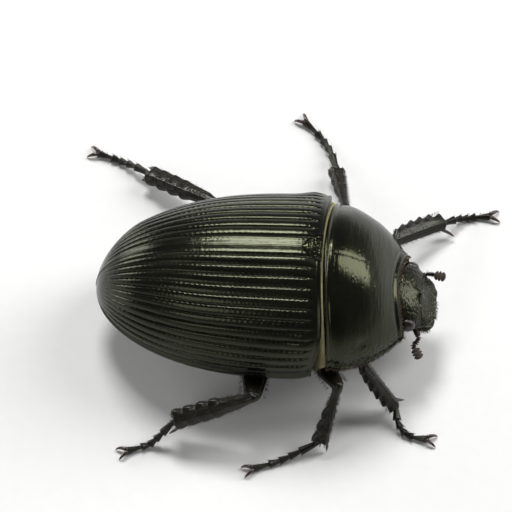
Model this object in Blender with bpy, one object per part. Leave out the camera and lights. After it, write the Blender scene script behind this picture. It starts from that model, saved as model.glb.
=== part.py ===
"""A dor beetle (dung beetle), life size, standing still on six legs.

Millimetres throughout, turned into metres when a mesh is made. +X is the head end, +Y the beetle's
left, +Z up, and the floor is z = 0. Each plate of the shell and each part of a leg is its own body.
"""

from math import asin, cos, pi, radians, sin

import bmesh
import bpy
from mathutils import Matrix, Vector

MM = 0.001
GAP = 0.06  # clearance at a seam between two plates
INNER_GAP = 0.12  # clearance where nothing shows
BODY_AT = Vector((-1.0385, -2.1192, 0.0))  # puts the middle of the whole model's footprint on the origin

# Wing cases
TAIL_X = -10.9
WIDEST_X = 1.5
BASE_X = 3.5  # front edge of the wing cases, on the middle line
BASE_BOW = 0.55  # how much further forward that edge is at the shoulder
HULL_HALF_WIDTH = 6.30
HULL_CROWN = 5.95
SHOULDER_TAPER = 0.38
CROWN_DROP = 0.38
PLAN_POWERS = (2.22, 1.84)
CROWN_POWERS = (3.5, 2.15)
MARGIN_Z_TAIL = 3.25
MARGIN_SLOPE = 0.07
HUMERAL_X = 1.8  # from here forward the margin climbs to the shoulder
HUMERAL_RISE = 0.75
SHOULDER_ROUND = 0.8
SHELL = 0.55  # thickness of a wing case

# Belly
BELLY_Z = 2.15
BELLY_POWER = 1.9
THORAX_BACK_X = -0.66
THORAX_FRONT_X = 3.3
NECK_STATIONS = ((3.33, 5.20), (3.50, 5.00))  # x and half width of the collar that meets the pronotum
NECK_FLOOR_Z = 4.68
STERNITES = 6
STERNITE_STEP = 0.14

# Pronotum
PRONOTUM_BACK_X = BASE_X + GAP + 0.04
PRONOTUM_FRONT_X = 8.35
PRONOTUM_MARGIN = ((0.0, 5.62), (0.16, 5.66), (0.38, 5.36), (0.6, 4.80), (0.8, 4.02), (1.0, 2.92))
PRONOTUM_CROWN = ((0.0, 4.98), (0.2, 4.92), (0.5, 4.40), (0.75, 3.45), (1.0, 1.85))
PRONOTUM_RIM_Z = (4.68, 4.30)
UNDERCUT = 0.52

# Head, in its own frame, which is pitched nose down
HEAD_AT = Vector((8.25, 0.0, 4.75))
HEAD_PITCH = 24.0
HEAD_STATIONS = (  # forward, half width, top, bottom
    (-0.75, 1.30, 0.62, -0.85),
    (-0.30, 1.80, 0.90, -1.15),
    (0.20, 2.12, 1.02, -1.35),
    (0.70, 2.30, 1.00, -1.38),
    (1.10, 2.26, 0.90, -1.25),
    (1.45, 2.05, 0.76, -1.08),
    (1.75, 1.82, 0.60, -0.92),
    (2.10, 1.70, 0.42, -0.74),
    (2.46, 1.46, 0.24, -0.55),
    (2.76, 1.06, 0.08, -0.38),
)
EYE_AT = (0.86, 2.06, 0.12)
EYE_RADII = (0.52, 0.42, 0.50)
TUBERCLE_AT = (1.25, 0.0, 0.84)
LABRUM_FRONT = 3.04
ANTENNA_ROOT = (1.55, 1.78, -0.42)
FEELER_RADIUS = 0.25

# Scutellum
SCUTELLUM_HALF_WIDTH = 0.95
SCUTELLUM_LENGTH = 1.25

# Legs: the two of a pair share every size, and only the angles of their pose differ
KNOB = 0.36  # ball at the start of each leg piece, seated in the piece before it
FOOT_Z = 0.22  # height of the middle of a foot lying on the floor
LEG_SIZES = {
    "fore": {
        "coxa_at": (6.30, 1.15, 2.72),
        "coxa_radii": (0.80, 0.82, 0.98),
        "hip_at": (6.50, 1.40, 1.98),
        "femur": (3.78, 0.72, 0.50),
        "tibia": (4.52, 0.76, 0.30),
        "tarsus": (0.88, 0.54, 0.48, 0.52, 0.91),
    },
    "mid": {
        "coxa_at": (2.50, 1.85, 2.30),
        "coxa_radii": (0.78, 0.90, 0.75),
        "hip_at": (2.70, 2.30, 1.85),
        "femur": (5.43, 0.66, 0.46),
        "tibia": (4.11, 0.47, 0.38),
        "tarsus": (1.44, 0.75, 0.67, 0.70, 1.12),
    },
    "hind": {
        "coxa_at": (0.00, 1.62, 2.20),
        "coxa_radii": (0.60, 1.15, 0.64),
        "hip_at": (-0.35, 1.90, 1.72),
        "femur": (6.42, 0.86, 0.44),
        "tibia": (5.36, 0.60, 0.46),
        "tarsus": (1.25, 0.66, 0.58, 0.58, 0.95),
    },
}
# Outward yaw and pitch of the femur, then of the tibia, then its roll, and the tarsus' first and last yaw
LEG_POSE = {
    ("fore", "left"): (75, 6, 37, -18, 28, 38, 7),
    ("fore", "right"): (97, 36, 31, -49, 15, 81, 6),
    ("mid", "left"): (70, 6, 102, -23, 10, 107, 137),
    ("mid", "right"): (62, 25, 113, -54, 10, 152, 158),
    ("hind", "left"): (122, 4, 150, -14, 10, 146, 164),
    ("hind", "right"): (90, 22, 171, -24, 10, 147, 159),
}
FORE_TEETH = 6
BLADE_EDGE = ((0.0, 0.62), (0.14, 0.98), (0.45, 1.10), (0.75, 0.98), (1.0, 0.60))  # outer edge of the fore shin
SHIN_SWELL = {"mid": ((0.0, 0.55), (1.0, 1.0)), "hind": ((0.0, 0.70), (0.25, 0.90), (0.5, 1.02), (1.0, 1.0))}
SPUR_STATIONS = ((0.0, 0.19), (0.45, 0.17), (1.0, 0.07))  # share of the way out, radius
ANKLE_RADIUS = 0.26
CLAW_LENGTH = 0.74
CLAW_SPREAD = 24.0
LEG_SIDES = 8
SIDES = {"left": 1, "right": -1}

COLOURS = {
    "chitin": (0.012, 0.012, 0.011),
    "chitin_belly": (0.014, 0.013, 0.018),
    "chitin_leg": (0.013, 0.011, 0.010),
    "eye": (0.02, 0.012, 0.008),
    "feeler": (0.05, 0.032, 0.022),
}


def material_of(kind):
    """The Principled material of one kind of surface, made once."""
    made = bpy.data.materials.get(kind)
    if made:
        return made
    made = bpy.data.materials.new(kind)
    made.use_nodes = True
    shader = made.node_tree.nodes["Principled BSDF"]
    shader.inputs["Base Color"].default_value = (*COLOURS[kind], 1.0)
    shader.inputs["Roughness"].default_value = 0.28 if kind.startswith("chitin") else 0.45
    return made


def body_from(name, points, faces, kind, at=(0.0, 0.0, 0.0)):
    """A smooth-shaded body from points and faces in the beetle's frame, with its origin at a point."""
    at = Vector(at)
    mesh = bpy.data.meshes.new(name)
    mesh.from_pydata([(Vector(point) - at) * MM for point in points], [], faces)
    work = bmesh.new()
    work.from_mesh(mesh)
    bmesh.ops.recalc_face_normals(work, faces=work.faces)
    work.to_mesh(mesh)
    work.free()
    mesh.shade_smooth()
    made = bpy.data.objects.new(name, mesh)
    bpy.context.scene.collection.objects.link(made)
    mesh.materials.append(material_of(kind))
    made.parent = bpy.data.objects["beetle"]
    made.location = at * MM
    return made


def loft(rings):
    """Points and faces of a closed body through rings of equal count, with a fan at each end."""
    count = len(rings[0])
    points = [point for ring in rings for point in ring]
    faces = []
    for k in range(len(rings) - 1):
        for i in range(count):
            j = (i + 1) % count
            faces.append((k * count + i, k * count + j, (k + 1) * count + j, (k + 1) * count + i))
    for ring, first in ((rings[0], 0), (rings[-1], (len(rings) - 1) * count)):
        points.append(sum((Vector(point) for point in ring), Vector()) / count)
        middle = len(points) - 1
        faces.extend((first + i, first + (i + 1) % count, middle) for i in range(count))
    return points, faces


def round_ring(centre, forward, radii, count, up=(0.0, 0.0, 1.0)):
    """A ring of points around a centre, square to a direction: radii across it and along its up."""
    ahead = Vector(forward).normalized()
    across = Vector(up).cross(ahead).normalized()
    above = ahead.cross(across)
    turns = [2 * pi * i / count for i in range(count)]
    return [Vector(centre) + across * radii[0] * cos(t) + above * radii[1] * sin(t) for t in turns]


def rod(stations, count, up=(0.0, 0.0, 1.0)):
    """A closed rod through (centre, radius across, radius up) stations, each ring square to its path."""
    centres = [Vector(station[0]) for station in stations]
    rings = []
    for i, station in enumerate(stations):
        ahead = centres[min(i + 1, len(centres) - 1)] - centres[max(i - 1, 0)]
        rings.append(round_ring(centres[i], ahead, station[1:], count, up))
    return loft(rings)


def ellipsoid(radii, around=10, along=6):
    """Points and faces of an ellipsoid about its own middle."""
    rings = []
    turns = [2 * pi * i / around for i in range(around)]
    for k in range(1, along):
        lat = -pi / 2 + pi * k / along
        wide, tall = radii[0] * cos(lat), radii[1] * cos(lat)
        rings.append([(wide * cos(turn), tall * sin(turn), radii[2] * sin(lat)) for turn in turns])
    points, faces = loft(rings)
    points[-2] = Vector((0.0, 0.0, -radii[2]))
    points[-1] = Vector((0.0, 0.0, radii[2]))
    return points, faces


def combine(target, helper, operation):
    """Cuts or joins a helper body into a target with an exact Boolean, and hides the helper."""
    helper.hide_render = True
    helper.display_type = "WIRE"
    modifier = target.modifiers.new(helper.name, "BOOLEAN")
    modifier.operation = operation
    modifier.solver = "EXACT"
    modifier.object = helper


def capsule(name, start, towards, radius, length, count=8):
    """A round-ended rod from a joint along a direction, used to cut room for a neighbour."""
    ahead = Vector(towards).normalized()
    stations = []
    for k in range(1, 3):
        lat = -pi / 2 + pi / 2 * k / 2
        stations.append((Vector(start) + ahead * radius * sin(lat), radius * cos(lat), radius * cos(lat)))
    stations.append((Vector(start) + ahead * length, radius, radius))
    up = (0.0, 0.0, 1.0) if abs(ahead.z) < 0.9 else (0.0, 1.0, 0.0)
    points, faces = rod(stations, count, up)
    points[-2] = Vector(start) - ahead * radius
    return body_from(name, points, faces, "chitin")


def between(pairs, share):
    """A smooth value at a share of the way through (share, value) pairs."""
    for (low, first), (high, second) in zip(pairs, pairs[1:]):
        if share <= high:
            part = (share - low) / (high - low)
            part = part * part * (3 - 2 * part) * 0.35 + part * 0.65
            return first + (second - first) * part
    return pairs[-1][1]


def margin_z(x):
    return MARGIN_Z_TAIL + MARGIN_SLOPE * (x - TAIL_X)


def shoulder_rise(x):
    """How far the side margin climbs above its line as it nears the shoulder."""
    share = max(0.0, (x - HUMERAL_X) / (BASE_X + BASE_BOW - HUMERAL_X))
    return HUMERAL_RISE * share ** 2


def hull_size(x, inset):
    """Half width and crown height of the wing cases' dome at x, made smaller all round by an inset."""
    width = HULL_HALF_WIDTH - inset
    crown = HULL_CROWN - inset
    if x >= WIDEST_X:
        share = (x - WIDEST_X) / (BASE_X + BASE_BOW - WIDEST_X)
        return width - SHOULDER_TAPER * share ** 3.5, crown - CROWN_DROP * share ** 2
    share = min((WIDEST_X - x) / (WIDEST_X - TAIL_X - inset), 1.0)
    plan = (1 - share ** PLAN_POWERS[0]) ** (1 / PLAN_POWERS[1])
    rise = (1 - share ** CROWN_POWERS[0]) ** (1 / CROWN_POWERS[1])
    return width * plan, crown * rise


def hull_stations(inset, ahead, behind, base_x):
    """Positions along the dome as (share of the way to the base edge, x): close together near the tail."""
    found = [(1 - k / ahead, WIDEST_X + (base_x - WIDEST_X) * (1 - k / ahead)) for k in range(ahead)]
    reach = WIDEST_X - TAIL_X - inset
    found += [(0.0, WIDEST_X - reach * sin(radians(86.5) * k / behind)) for k in range(behind + 1)]
    return found


def hull_point(x, share, lean, inset, bow=BASE_BOW):
    """A point of the dome: lean 0 is the middle line and a quarter turn is the side margin."""
    x = x + share * (bow * sin(lean) ** 2 - SHOULDER_ROUND * abs(sin(lean)) ** 12)
    width, crown = hull_size(x, inset)
    rise = shoulder_rise(x)
    return Vector((x, width * sin(lean), margin_z(x) + rise + (crown - rise) * cos(lean)))


def grid_faces(rows, columns, first=0):
    corners = [first + r * columns + c for r in range(rows - 1) for c in range(columns - 1)]
    return [(corner, corner + 1, corner + columns + 1, corner + columns) for corner in corners]


def elytron(side):
    """One wing case: an outer and an inner dome, closed along the suture and round every edge."""
    rows = hull_stations(0.0, 3, 10, BASE_X)
    leans = [pi / 2 * k / 7 for k in range(8)]
    points = []
    for inset in (0.0, SHELL):
        for share, x in hull_stations(inset, 3, 10, BASE_X):
            for lean in leans:
                point = hull_point(x, share, lean, inset)
                middle = GAP / 2 if lean < 0.01 else GAP / 2 * cos(lean)
                points.append(Vector((point.x, SIDES[side] * (point.y + middle), point.z)))
    count, wide = len(rows), len(leans)
    half = count * wide
    faces = grid_faces(count, wide) + grid_faces(count, wide, half)
    for c in range(wide - 1):
        for row in (0, count - 1):
            a = row * wide + c
            faces.append((a, a + 1, half + a + 1, half + a))
    for r in range(count - 1):
        for column in (0, wide - 1):
            a = r * wide + column
            faces.append((a, a + wide, half + a + wide, half + a))
    return body_from(f"elytron_{side}", points, faces, "chitin")


def trunk_ring(x, inset, belly, upper=7, lower=8, power=BELLY_POWER):
    """A closed section of the trunk: the dome made smaller above, and the belly's curve below."""
    width, crown = hull_size(x, inset)
    level = margin_z(x) - 0.05
    turns = [pi * k / upper for k in range(upper + 1)]
    ring = [Vector((x, width * cos(turn), level + crown * sin(turn))) for turn in turns]
    depth = max(level - belly, 0.12)
    for k in range(1, lower):
        turn = pi * k / lower
        ring.append(Vector((x, -width * cos(turn), level - depth * sin(turn) ** power)))
    return ring


def belly_z(x):
    """Height of the belly's keel: level under the thorax and rising to the tail."""
    share = max(0.0, (THORAX_BACK_X - x) / (THORAX_BACK_X - TAIL_X))
    return BELLY_Z + 0.75 * share ** 2.2


def abdomen():
    """The abdomen, closed above to fit under the wing cases, with its sternites stepped below."""
    inset = SHELL + INNER_GAP
    front = THORAX_BACK_X - GAP
    back = TAIL_X + inset + 0.12
    rings = []
    for k in range(STERNITES):
        start = front + (back - front) * (k / STERNITES) ** 0.86
        end = front + (back - front) * ((k + 1) / STERNITES) ** 0.86
        rings.append(trunk_ring(start, inset, belly_z(start) + STERNITE_STEP))
        rings.append(trunk_ring(end + 0.10, inset, belly_z(end)))
    return body_from("abdomen", *loft(rings), "chitin_belly")


def thorax():
    """The two hinder rings of the thorax, which carry the wing cases and the mid and hind legs."""
    inset = SHELL + INNER_GAP
    stations = ((THORAX_BACK_X, 0.0), (-0.1, -0.1), (1.2, -0.12), (2.4, -0.05), (3.05, 0.25),
                (THORAX_FRONT_X, 0.9))
    rings = [trunk_ring(x, inset, BELLY_Z + rise) for x, rise in stations]
    for x, width in NECK_STATIONS:
        ring = trunk_ring(x, HULL_HALF_WIDTH - width, NECK_FLOOR_Z)
        rings.append([Vector((point.x, point.y, max(point.z, NECK_FLOOR_Z))) for point in ring])
    return body_from("thorax", *loft(rings), "chitin_belly")


def pronotum_point(share, lean):
    """A point of the pronotum's top: share 0 is its hind edge and 1 its front edge."""
    back = PRONOTUM_BACK_X + BASE_BOW * sin(lean) ** 2
    front = PRONOTUM_FRONT_X + 0.5 * sin(lean) ** 2
    x = back + (front - back) * share
    rim = PRONOTUM_RIM_Z[0] + (PRONOTUM_RIM_Z[1] - PRONOTUM_RIM_Z[0]) * share
    width = between(PRONOTUM_MARGIN, share)
    crown = between(PRONOTUM_CROWN, share)
    return Vector((x, width * sin(lean), rim + crown * cos(lean)))


def hollow(share):
    """How far the pronotum's underside is hollowed above its rim, at a share of the way forward."""
    return 0.12 + (UNDERCUT - 0.12) * (4 * share * (1 - share)) ** 0.5


def pronotum():
    """The neck shield: domed above, with a blunt rim and a hollowed underside for the fore legs."""
    upper = 12
    rings = []
    for k in range(9):
        share = k / 8
        ring = [pronotum_point(share, pi / 2 - pi * i / upper) for i in range(upper + 1)]
        rim = ring[0]
        for part in (0.95, 0.84, 0.5, -0.5, -0.84, -0.95):
            rise = -0.10 if abs(part) > 0.9 else hollow(share) * (0.75 if abs(part) > 0.8 else 1.0)
            x = rim.x - (rim.x - ring[upper // 2].x) * (1 - abs(part)) ** 1.5
            ring.append(Vector((x, -rim.y * part, rim.z + rise)))
        rings.append(ring)
    return body_from("pronotum", *loft(rings), "chitin")


def prosternum():
    """The underside of the first ring of the thorax, from the neck back to the fore coxae."""
    stations = ((THORAX_FRONT_X + GAP, 2.5, 3.3), (4.2, 2.8, 2.95), (5.2, 3.2, 2.6), (6.6, 3.1, 2.6),
                (7.5, 2.4, 3.05))
    rings = []
    for x, width, floor in stations:
        share = max((x - PRONOTUM_BACK_X) / (PRONOTUM_FRONT_X - PRONOTUM_BACK_X), 0.0)
        rim = PRONOTUM_RIM_Z[0] + (PRONOTUM_RIM_Z[1] - PRONOTUM_RIM_Z[0]) * share
        top = rim + hollow(share) - INNER_GAP - 0.16
        ring = [Vector((x, width * part, top)) for part in (1.0, 0.5, 0.0, -0.5, -1.0)]
        for i in range(1, 8):
            turn = pi * i / 8
            ring.append(Vector((x, -width * cos(turn), top - 0.1 - (top - floor - 0.1) * sin(turn) ** 0.8)))
        rings.append(ring)
    return body_from("prosternum", *loft(rings), "chitin_belly")


def head_place(point):
    """A point of the head's own frame in the beetle's frame."""
    return HEAD_AT + Matrix.Rotation(radians(HEAD_PITCH), 3, "Y") @ Vector(point)


def head_ring(forward, half_width, top, bottom, grow=0.0):
    ring = []
    for k in range(14):
        turn = 2 * pi * k / 14
        side, rise = cos(turn), sin(turn)
        flat = abs(side) ** 0.8 * (1 if side > 0 else -1)
        tall = (top + grow) * abs(rise) ** 0.9 if rise > 0 else (bottom - grow) * abs(rise) ** 0.9
        ring.append((forward, (half_width + grow) * flat, tall))
    return ring


def head_shape(grow=0.0):
    rings = [head_ring(*station, grow) for station in HEAD_STATIONS]
    points, faces = loft(rings)
    return [head_place(point) for point in points], faces


def part_of_head(name, points, faces, kind):
    return body_from(name, [head_place(point) for point in points], faces, kind)


def head():
    """The head capsule with the tubercle of the frons and sockets for the eyes and the feelers."""
    made = body_from("head", *head_shape(), "chitin")
    stations = [((TUBERCLE_AT[0], 0.0, TUBERCLE_AT[2] + up), size, size) for up, size in
                ((-0.35, 0.42), (0.0, 0.34), (0.14, 0.2), (0.2, 0.08))]
    combine(made, part_of_head("tubercle", *rod(stations, 7, (0.0, 1.0, 0.0)), "chitin"), "UNION")
    for side, sign in SIDES.items():
        points, faces = ellipsoid([radius + GAP for radius in EYE_RADII])
        room = [(x + EYE_AT[0], y + sign * EYE_AT[1], z + EYE_AT[2]) for x, y, z in points]
        combine(made, part_of_head(f"eye_room_{side}", room, faces, "chitin"), "DIFFERENCE")
        root, bend = antenna_bends(side)[:2]
        room = capsule(f"antenna_room_{side}", root, bend - root, FEELER_RADIUS + GAP * 1.5, 1.2, 6)
        combine(made, room, "DIFFERENCE")
    return made


def eye(side):
    points, faces = ellipsoid(EYE_RADII)
    moved = [(x + EYE_AT[0], y + SIDES[side] * EYE_AT[1], z + EYE_AT[2]) for x, y, z in points]
    return part_of_head(f"eye_{side}", moved, faces, "eye")


def labrum():
    """The upper lip: a small plate under the front edge of the clypeus."""
    rings = []
    stations = ((2.34, 0.62, -0.80, -0.66), (2.66, 0.78, -0.76, -0.50), (2.90, 0.72, -0.72, -0.44),
                (LABRUM_FRONT, 0.5, -0.66, -0.46))
    for x, width, low, high in stations:
        ring = []
        for k in range(12):
            turn = 2 * pi * k / 12
            ring.append((x, width * cos(turn), (low + high) / 2 + (high - low) / 2 * sin(turn)))
        rings.append(ring)
    return part_of_head("labrum", *loft(rings), "chitin")


def mandible(side):
    """A sickle jaw that shows beside and ahead of the lip."""
    sign = SIDES[side]
    path = ((1.75, 0.98, 0.34, 0.26), (2.15, 1.14, 0.36, 0.27), (2.50, 1.14, 0.33, 0.26),
            (2.82, 1.00, 0.28, 0.24), (3.04, 0.76, 0.21, 0.2), (3.14, 0.50, 0.12, 0.12))
    stations = [((x, sign * y, -1.06), wide, tall) for x, y, wide, tall in path]
    return part_of_head(f"mandible_{side}", *rod(stations, 7), "chitin")


def palp(side):
    """A maxillary palp, held forward under the jaw."""
    sign = SIDES[side]
    path = ((1.15, 0.62, -1.60, 0.25), (1.50, 0.72, -1.74, 0.27), (1.75, 0.84, -1.78, 0.25),
            (2.05, 0.92, -1.78, 0.28), (2.24, 0.94, -1.78, 0.25), (2.56, 0.92, -1.80, 0.28),
            (2.74, 0.88, -1.84, 0.2))
    stations = [((x, sign * y, z), size, size) for x, y, z, size in path]
    return part_of_head(f"palp_{side}", *rod(stations, 6), "feeler")


ANTENNA_POSE = {  # bends of the stalk and the middle of the club, in the beetle's own frame
    "left": ((10.06, 1.96, 4.06), (10.18, 2.00, 4.06), (10.26, 2.02, 4.05), (10.34, 2.02, 4.04)),
    "right": ((9.86, 2.34, 3.58), (9.80, 2.58, 3.44), (9.66, 2.74, 3.34), (9.52, 2.82, 3.28)),
}
CLUB_AXIS = {"left": (0.94, -0.06, -0.2), "right": (0.52, 0.70, -0.5)}


def antenna_bends(side):
    """The root of a feeler under the canthus and the bends of its stalk, up to its club."""
    sign = SIDES[side]
    root = head_place((ANTENNA_ROOT[0], sign * ANTENNA_ROOT[1], ANTENNA_ROOT[2]))
    return [root] + [Vector((x, sign * y, z)) for x, y, z in ANTENNA_POSE[side]]


def antenna(side):
    """The scape and the funicle's beads, from the root to the club."""
    bends = antenna_bends(side)
    stations = []
    for k, (start, end) in enumerate(zip(bends, bends[1:])):
        for part, size in ((0.2, 0.9), (0.75, 1.08)):
            stations.append((start.lerp(end, part), FEELER_RADIUS * size, FEELER_RADIUS * size))
    return body_from(f"antenna_{side}", *rod(stations, 6, (0.2, 0.3, 1.0)), "feeler")


def antenna_club(side):
    """The club: three leaves stacked along the feeler's end, with a groove between each two."""
    sign = SIDES[side]
    ahead = Vector((CLUB_AXIS[side][0], sign * CLUB_AXIS[side][1], CLUB_AXIS[side][2])).normalized()
    x, y, z = ANTENNA_POSE[side][3]
    start = Vector((x, sign * y, z)) + ahead * 0.22
    outline = ((0.0, 0.6), (0.10, 0.9), (0.26, 0.98), (0.31, 0.78), (0.36, 1.0), (0.50, 1.0), (0.55, 0.8),
               (0.60, 0.98), (0.76, 0.8), (0.86, 0.4))
    stations = [(start + ahead * along, 0.34 * size, 0.27 * size) for along, size in outline]
    return body_from(f"antenna_club_{side}", *rod(stations, 7), "feeler")


def scutellum_shape(grow, low, high):
    """The little shield between the wing cases' bases: a prism between two heights above the dome."""
    outline = ((BASE_X + 0.02 + grow, 1.0), (BASE_X - 0.28 - grow, 0.96), (BASE_X - 0.62 - grow, 0.72),
               (BASE_X - 0.95 - grow, 0.42), (BASE_X - SCUTELLUM_LENGTH - grow, 0.08))
    loop = [(x, SCUTELLUM_HALF_WIDTH * part + grow) for x, part in outline]
    loop += [(x, -y) for x, y in reversed(loop)]
    rings = []
    for level in (low, high):
        ring = []
        for x, y in loop:
            width, crown = hull_size(x, 0.0)
            ring.append(Vector((x, y, margin_z(x) + crown * (1 - (y / width) ** 2) ** 0.5 + level)))
        rings.append(ring)
    return loft(rings)


def aim(yaw, pitch, sign):
    """The direction of a leg piece: outward yaw from the head end, and pitch up, in degrees."""
    flat = cos(radians(pitch))
    return Vector((flat * cos(radians(yaw)), sign * flat * sin(radians(yaw)), sin(radians(pitch))))


def leg_joints(pair, side):
    """The hip, knee and ankle of a leg and the joints of its tarsus, which ends lying on the floor."""
    sizes = LEG_SIZES[pair]
    sign = SIDES[side]
    femur_yaw, femur_pitch, tibia_yaw, tibia_pitch, _, first_yaw, last_yaw = LEG_POSE[pair, side]
    x, y, z = sizes["hip_at"]
    hip = Vector((x, sign * y, z))
    knee = hip + aim(femur_yaw, femur_pitch, sign) * sizes["femur"][0]
    ankle = knee + aim(tibia_yaw, tibia_pitch, sign) * sizes["tibia"][0]
    lengths = sizes["tarsus"]
    drop = ankle.z - FOOT_Z
    slope = -min(asin(min(drop / (lengths[0] + lengths[1] + lengths[2]), 1.0)), radians(80))
    joints = [ankle]
    for k, length in enumerate(lengths):
        yaw = first_yaw + (last_yaw - first_yaw) * k / (len(lengths) - 1)
        pitch = slope if k < 3 else 0.0
        joints.append(joints[-1] + aim(yaw, pitch * 180 / pi, sign) * length)
    return hip, knee, ankle, joints


def coxa_shape(pair, side, grow=0.0):
    """The middle of a coxa, and the points and faces of its ellipsoid."""
    x, y, z = LEG_SIZES[pair]["coxa_at"]
    middle = Vector((x, SIDES[side] * y, z))
    points, faces = ellipsoid([radius + grow for radius in LEG_SIZES[pair]["coxa_radii"]], 8, 5)
    return middle, [middle + Vector(point) for point in points], faces


def coxa(pair, side):
    """The hip of a leg, with the seat of the femur's ball cut in it."""
    middle, points, faces = coxa_shape(pair, side)
    made = body_from(f"coxa_{pair}_{side}", points, faces, "chitin_leg", middle)
    combine(made, bpy.data.objects[f"femur_room_{pair}_{side}"], "DIFFERENCE")
    return made


def coxa_room(pair, side):
    """The cavity of the trunk in which a coxa sits."""
    middle, points, faces = coxa_shape(pair, side, GAP)
    return body_from(f"coxa_room_{pair}_{side}", points, faces, "chitin", middle)


def knob_stations(out, radius=KNOB):
    """Stations of the ball at a joint, up to the neck that leaves it."""
    found = []
    for k in range(1, 3):
        lat = -pi / 2 + pi / 2 * k / 2
        found.append((radius * sin(lat), radius * cos(lat), radius * cos(lat)))
    found.append((out, radius * 0.92, radius * 0.92))
    return found


def place_along(points, start, ahead, roll, sign):
    """Points of a piece built along +X put at a joint, along a direction, rolled about it."""
    level = Vector((0.0, 0.0, 1.0)).cross(ahead).normalized() * sign
    above = ahead.cross(level) * sign
    turned = Matrix.Rotation(radians(roll) * sign, 3, ahead)
    across, above = turned @ level, turned @ above
    return [start + ahead * point[0] + across * point[1] + above * point[2] for point in points]


def femur_shape(pair, side, grow=0.0):
    """The thigh: a flattened spindle from the ball in the coxa to the knee."""
    length, wide, tall = LEG_SIZES[pair]["femur"]
    hip, knee, _, _ = leg_joints(pair, side)
    stations = knob_stations(0.30)
    for share, size in ((0.16, 0.80), (0.36, 0.98), (0.60, 0.98), (0.84, 0.78), (0.985, 0.62)):
        stations.append((length * share, max(wide * size, 0.36), max(tall * (size * 0.6 + 0.4), 0.34)))
    stations[0] = (stations[0][0] - grow, *stations[0][1:])
    rings = [round_ring((x, 0.0, 0.0), (1.0, 0.0, 0.0), (across + grow, up + grow), LEG_SIDES)
             for x, across, up in stations]
    points, faces = loft(rings)
    return place_along(points, hip, (knee - hip).normalized(), 0.0, SIDES[side]), faces


def femur_room(pair, side):
    """The clearance that a femur needs in its coxa and under the trunk."""
    made = body_from(f"femur_room_{pair}_{side}", *femur_shape(pair, side, GAP), "chitin")
    made.hide_render = True
    made.display_type = "WIRE"
    return made


def femur(pair, side):
    hip, knee, ankle, _ = leg_joints(pair, side)
    made = body_from(f"femur_{pair}_{side}", *femur_shape(pair, side), "chitin_leg", hip)
    combine(made, capsule(f"knee_room_{pair}_{side}", knee, ankle - knee, KNOB + GAP, 2.0), "DIFFERENCE")
    return made


def fore_tibia_points(length, wide, tall):
    """The digging shin: a flat blade that widens to its end, with a row of teeth down its outer edge."""
    outer = []
    for k in range(FORE_TEETH):
        start, end = (0.10 + 0.90 * ((k + part) / FORE_TEETH) ** 0.9 for part in (0, 1))
        outer.append((length * start, wide * between(BLADE_EDGE, start)))
        point = 0.10 + 0.12 * (k + 1) / FORE_TEETH
        outer.append((length * end - 0.10, wide * between(BLADE_EDGE, end) + point))
    outer[-1] = (length + 0.10, wide * 0.72)
    loop = [(x, y, 0.0) for x, y in outer]
    rings = []
    for level, shrink in ((-tall, 0.80), (0.0, 1.0), (tall, 0.80)):
        ring = [(x, y * shrink, level) for x, y, _ in loop]
        ring += [(length + 0.02, 0.0, level), (length - 0.10, -wide * 0.50 * shrink, level)]
        ring += [(length * 0.62, -wide * 0.54 * shrink, level), (length * 0.3, -wide * 0.46 * shrink, level)]
        ring += [(0.18, -0.30 * shrink, level), (0.18, 0.30 * shrink, level)]
        rings.append(ring)
    return loft(rings)


def tibia(pair, side):
    """The shin, with its teeth or ridges and its spurs, and a seat for the tarsus in its end."""
    length, wide, tall = LEG_SIZES[pair]["tibia"]
    sign = SIDES[side]
    _, knee, ankle, joints = leg_joints(pair, side)
    ahead = (ankle - knee).normalized()
    roll = LEG_POSE[pair, side][4]
    name = f"tibia_{pair}_{side}"
    knob = [round_ring((x, 0.0, 0.0), (1.0, 0.0, 0.0), radii, LEG_SIDES) for x, *radii in knob_stations(0.30)]
    if pair == "fore":
        points, faces = fore_tibia_points(length, wide, tall)
        made = body_from(name, place_along(points, knee, ahead, roll, sign), faces, "chitin_leg", knee)
        ball = loft(knob + [round_ring((0.6, 0.0, 0.0), (1.0, 0.0, 0.0), (0.27, 0.25), LEG_SIDES)])
        placed = place_along(ball[0], knee, ahead, roll, sign)
        combine(made, body_from(f"knob_{name}", placed, ball[1], "chitin_leg"), "UNION")
        spurs = [((length - 0.35, -wide * 0.42, 0.0), (length + 0.40, -wide * 1.45, -0.06))]
    else:
        rings = knob
        ridges = 3 if pair == "hind" else 2
        for k in range(ridges + 1):
            end = 0.36 + 0.62 * (k + 1) / (ridges + 1)
            size = between(SHIN_SWELL[pair], (k + 1) / (ridges + 1))
            begin = 0.20 if k == 0 else 0.36 + 0.62 * k / (ridges + 1) + 0.035
            for share, part in ((begin, size * 0.80), (end, size * 1.05)):
                radii = (max(wide * part, 0.27), max(tall * part, 0.26))
                rings.append(round_ring((length * share, 0.0, 0.0), (1.0, 0.0, 0.0), radii, LEG_SIDES))
        points, faces = loft(rings)
        made = body_from(name, place_along(points, knee, ahead, roll, sign), faces, "chitin_leg", knee)
        spurs = [((length * 0.955, -wide * 0.66, -0.05), (length + 0.62, -wide * 1.15, -0.20)),
                 ((length * 0.94, wide * 0.62, 0.0), (length + 0.16, wide * 1.22, 0.0))]
    for k, (start, end) in enumerate(spurs):
        start, end = place_along([start, end], knee, ahead, roll, sign)
        stations = [(start.lerp(end, part), size, size) for part, size in SPUR_STATIONS]
        combine(made, body_from(f"spur{k}_{name}", *rod(stations, 5), "chitin_leg"), "UNION")
    room = capsule(f"ankle_room_{pair}_{side}", ankle, joints[1] - ankle, ANKLE_RADIUS + GAP, 1.2)
    combine(made, room, "DIFFERENCE")
    return made


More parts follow.
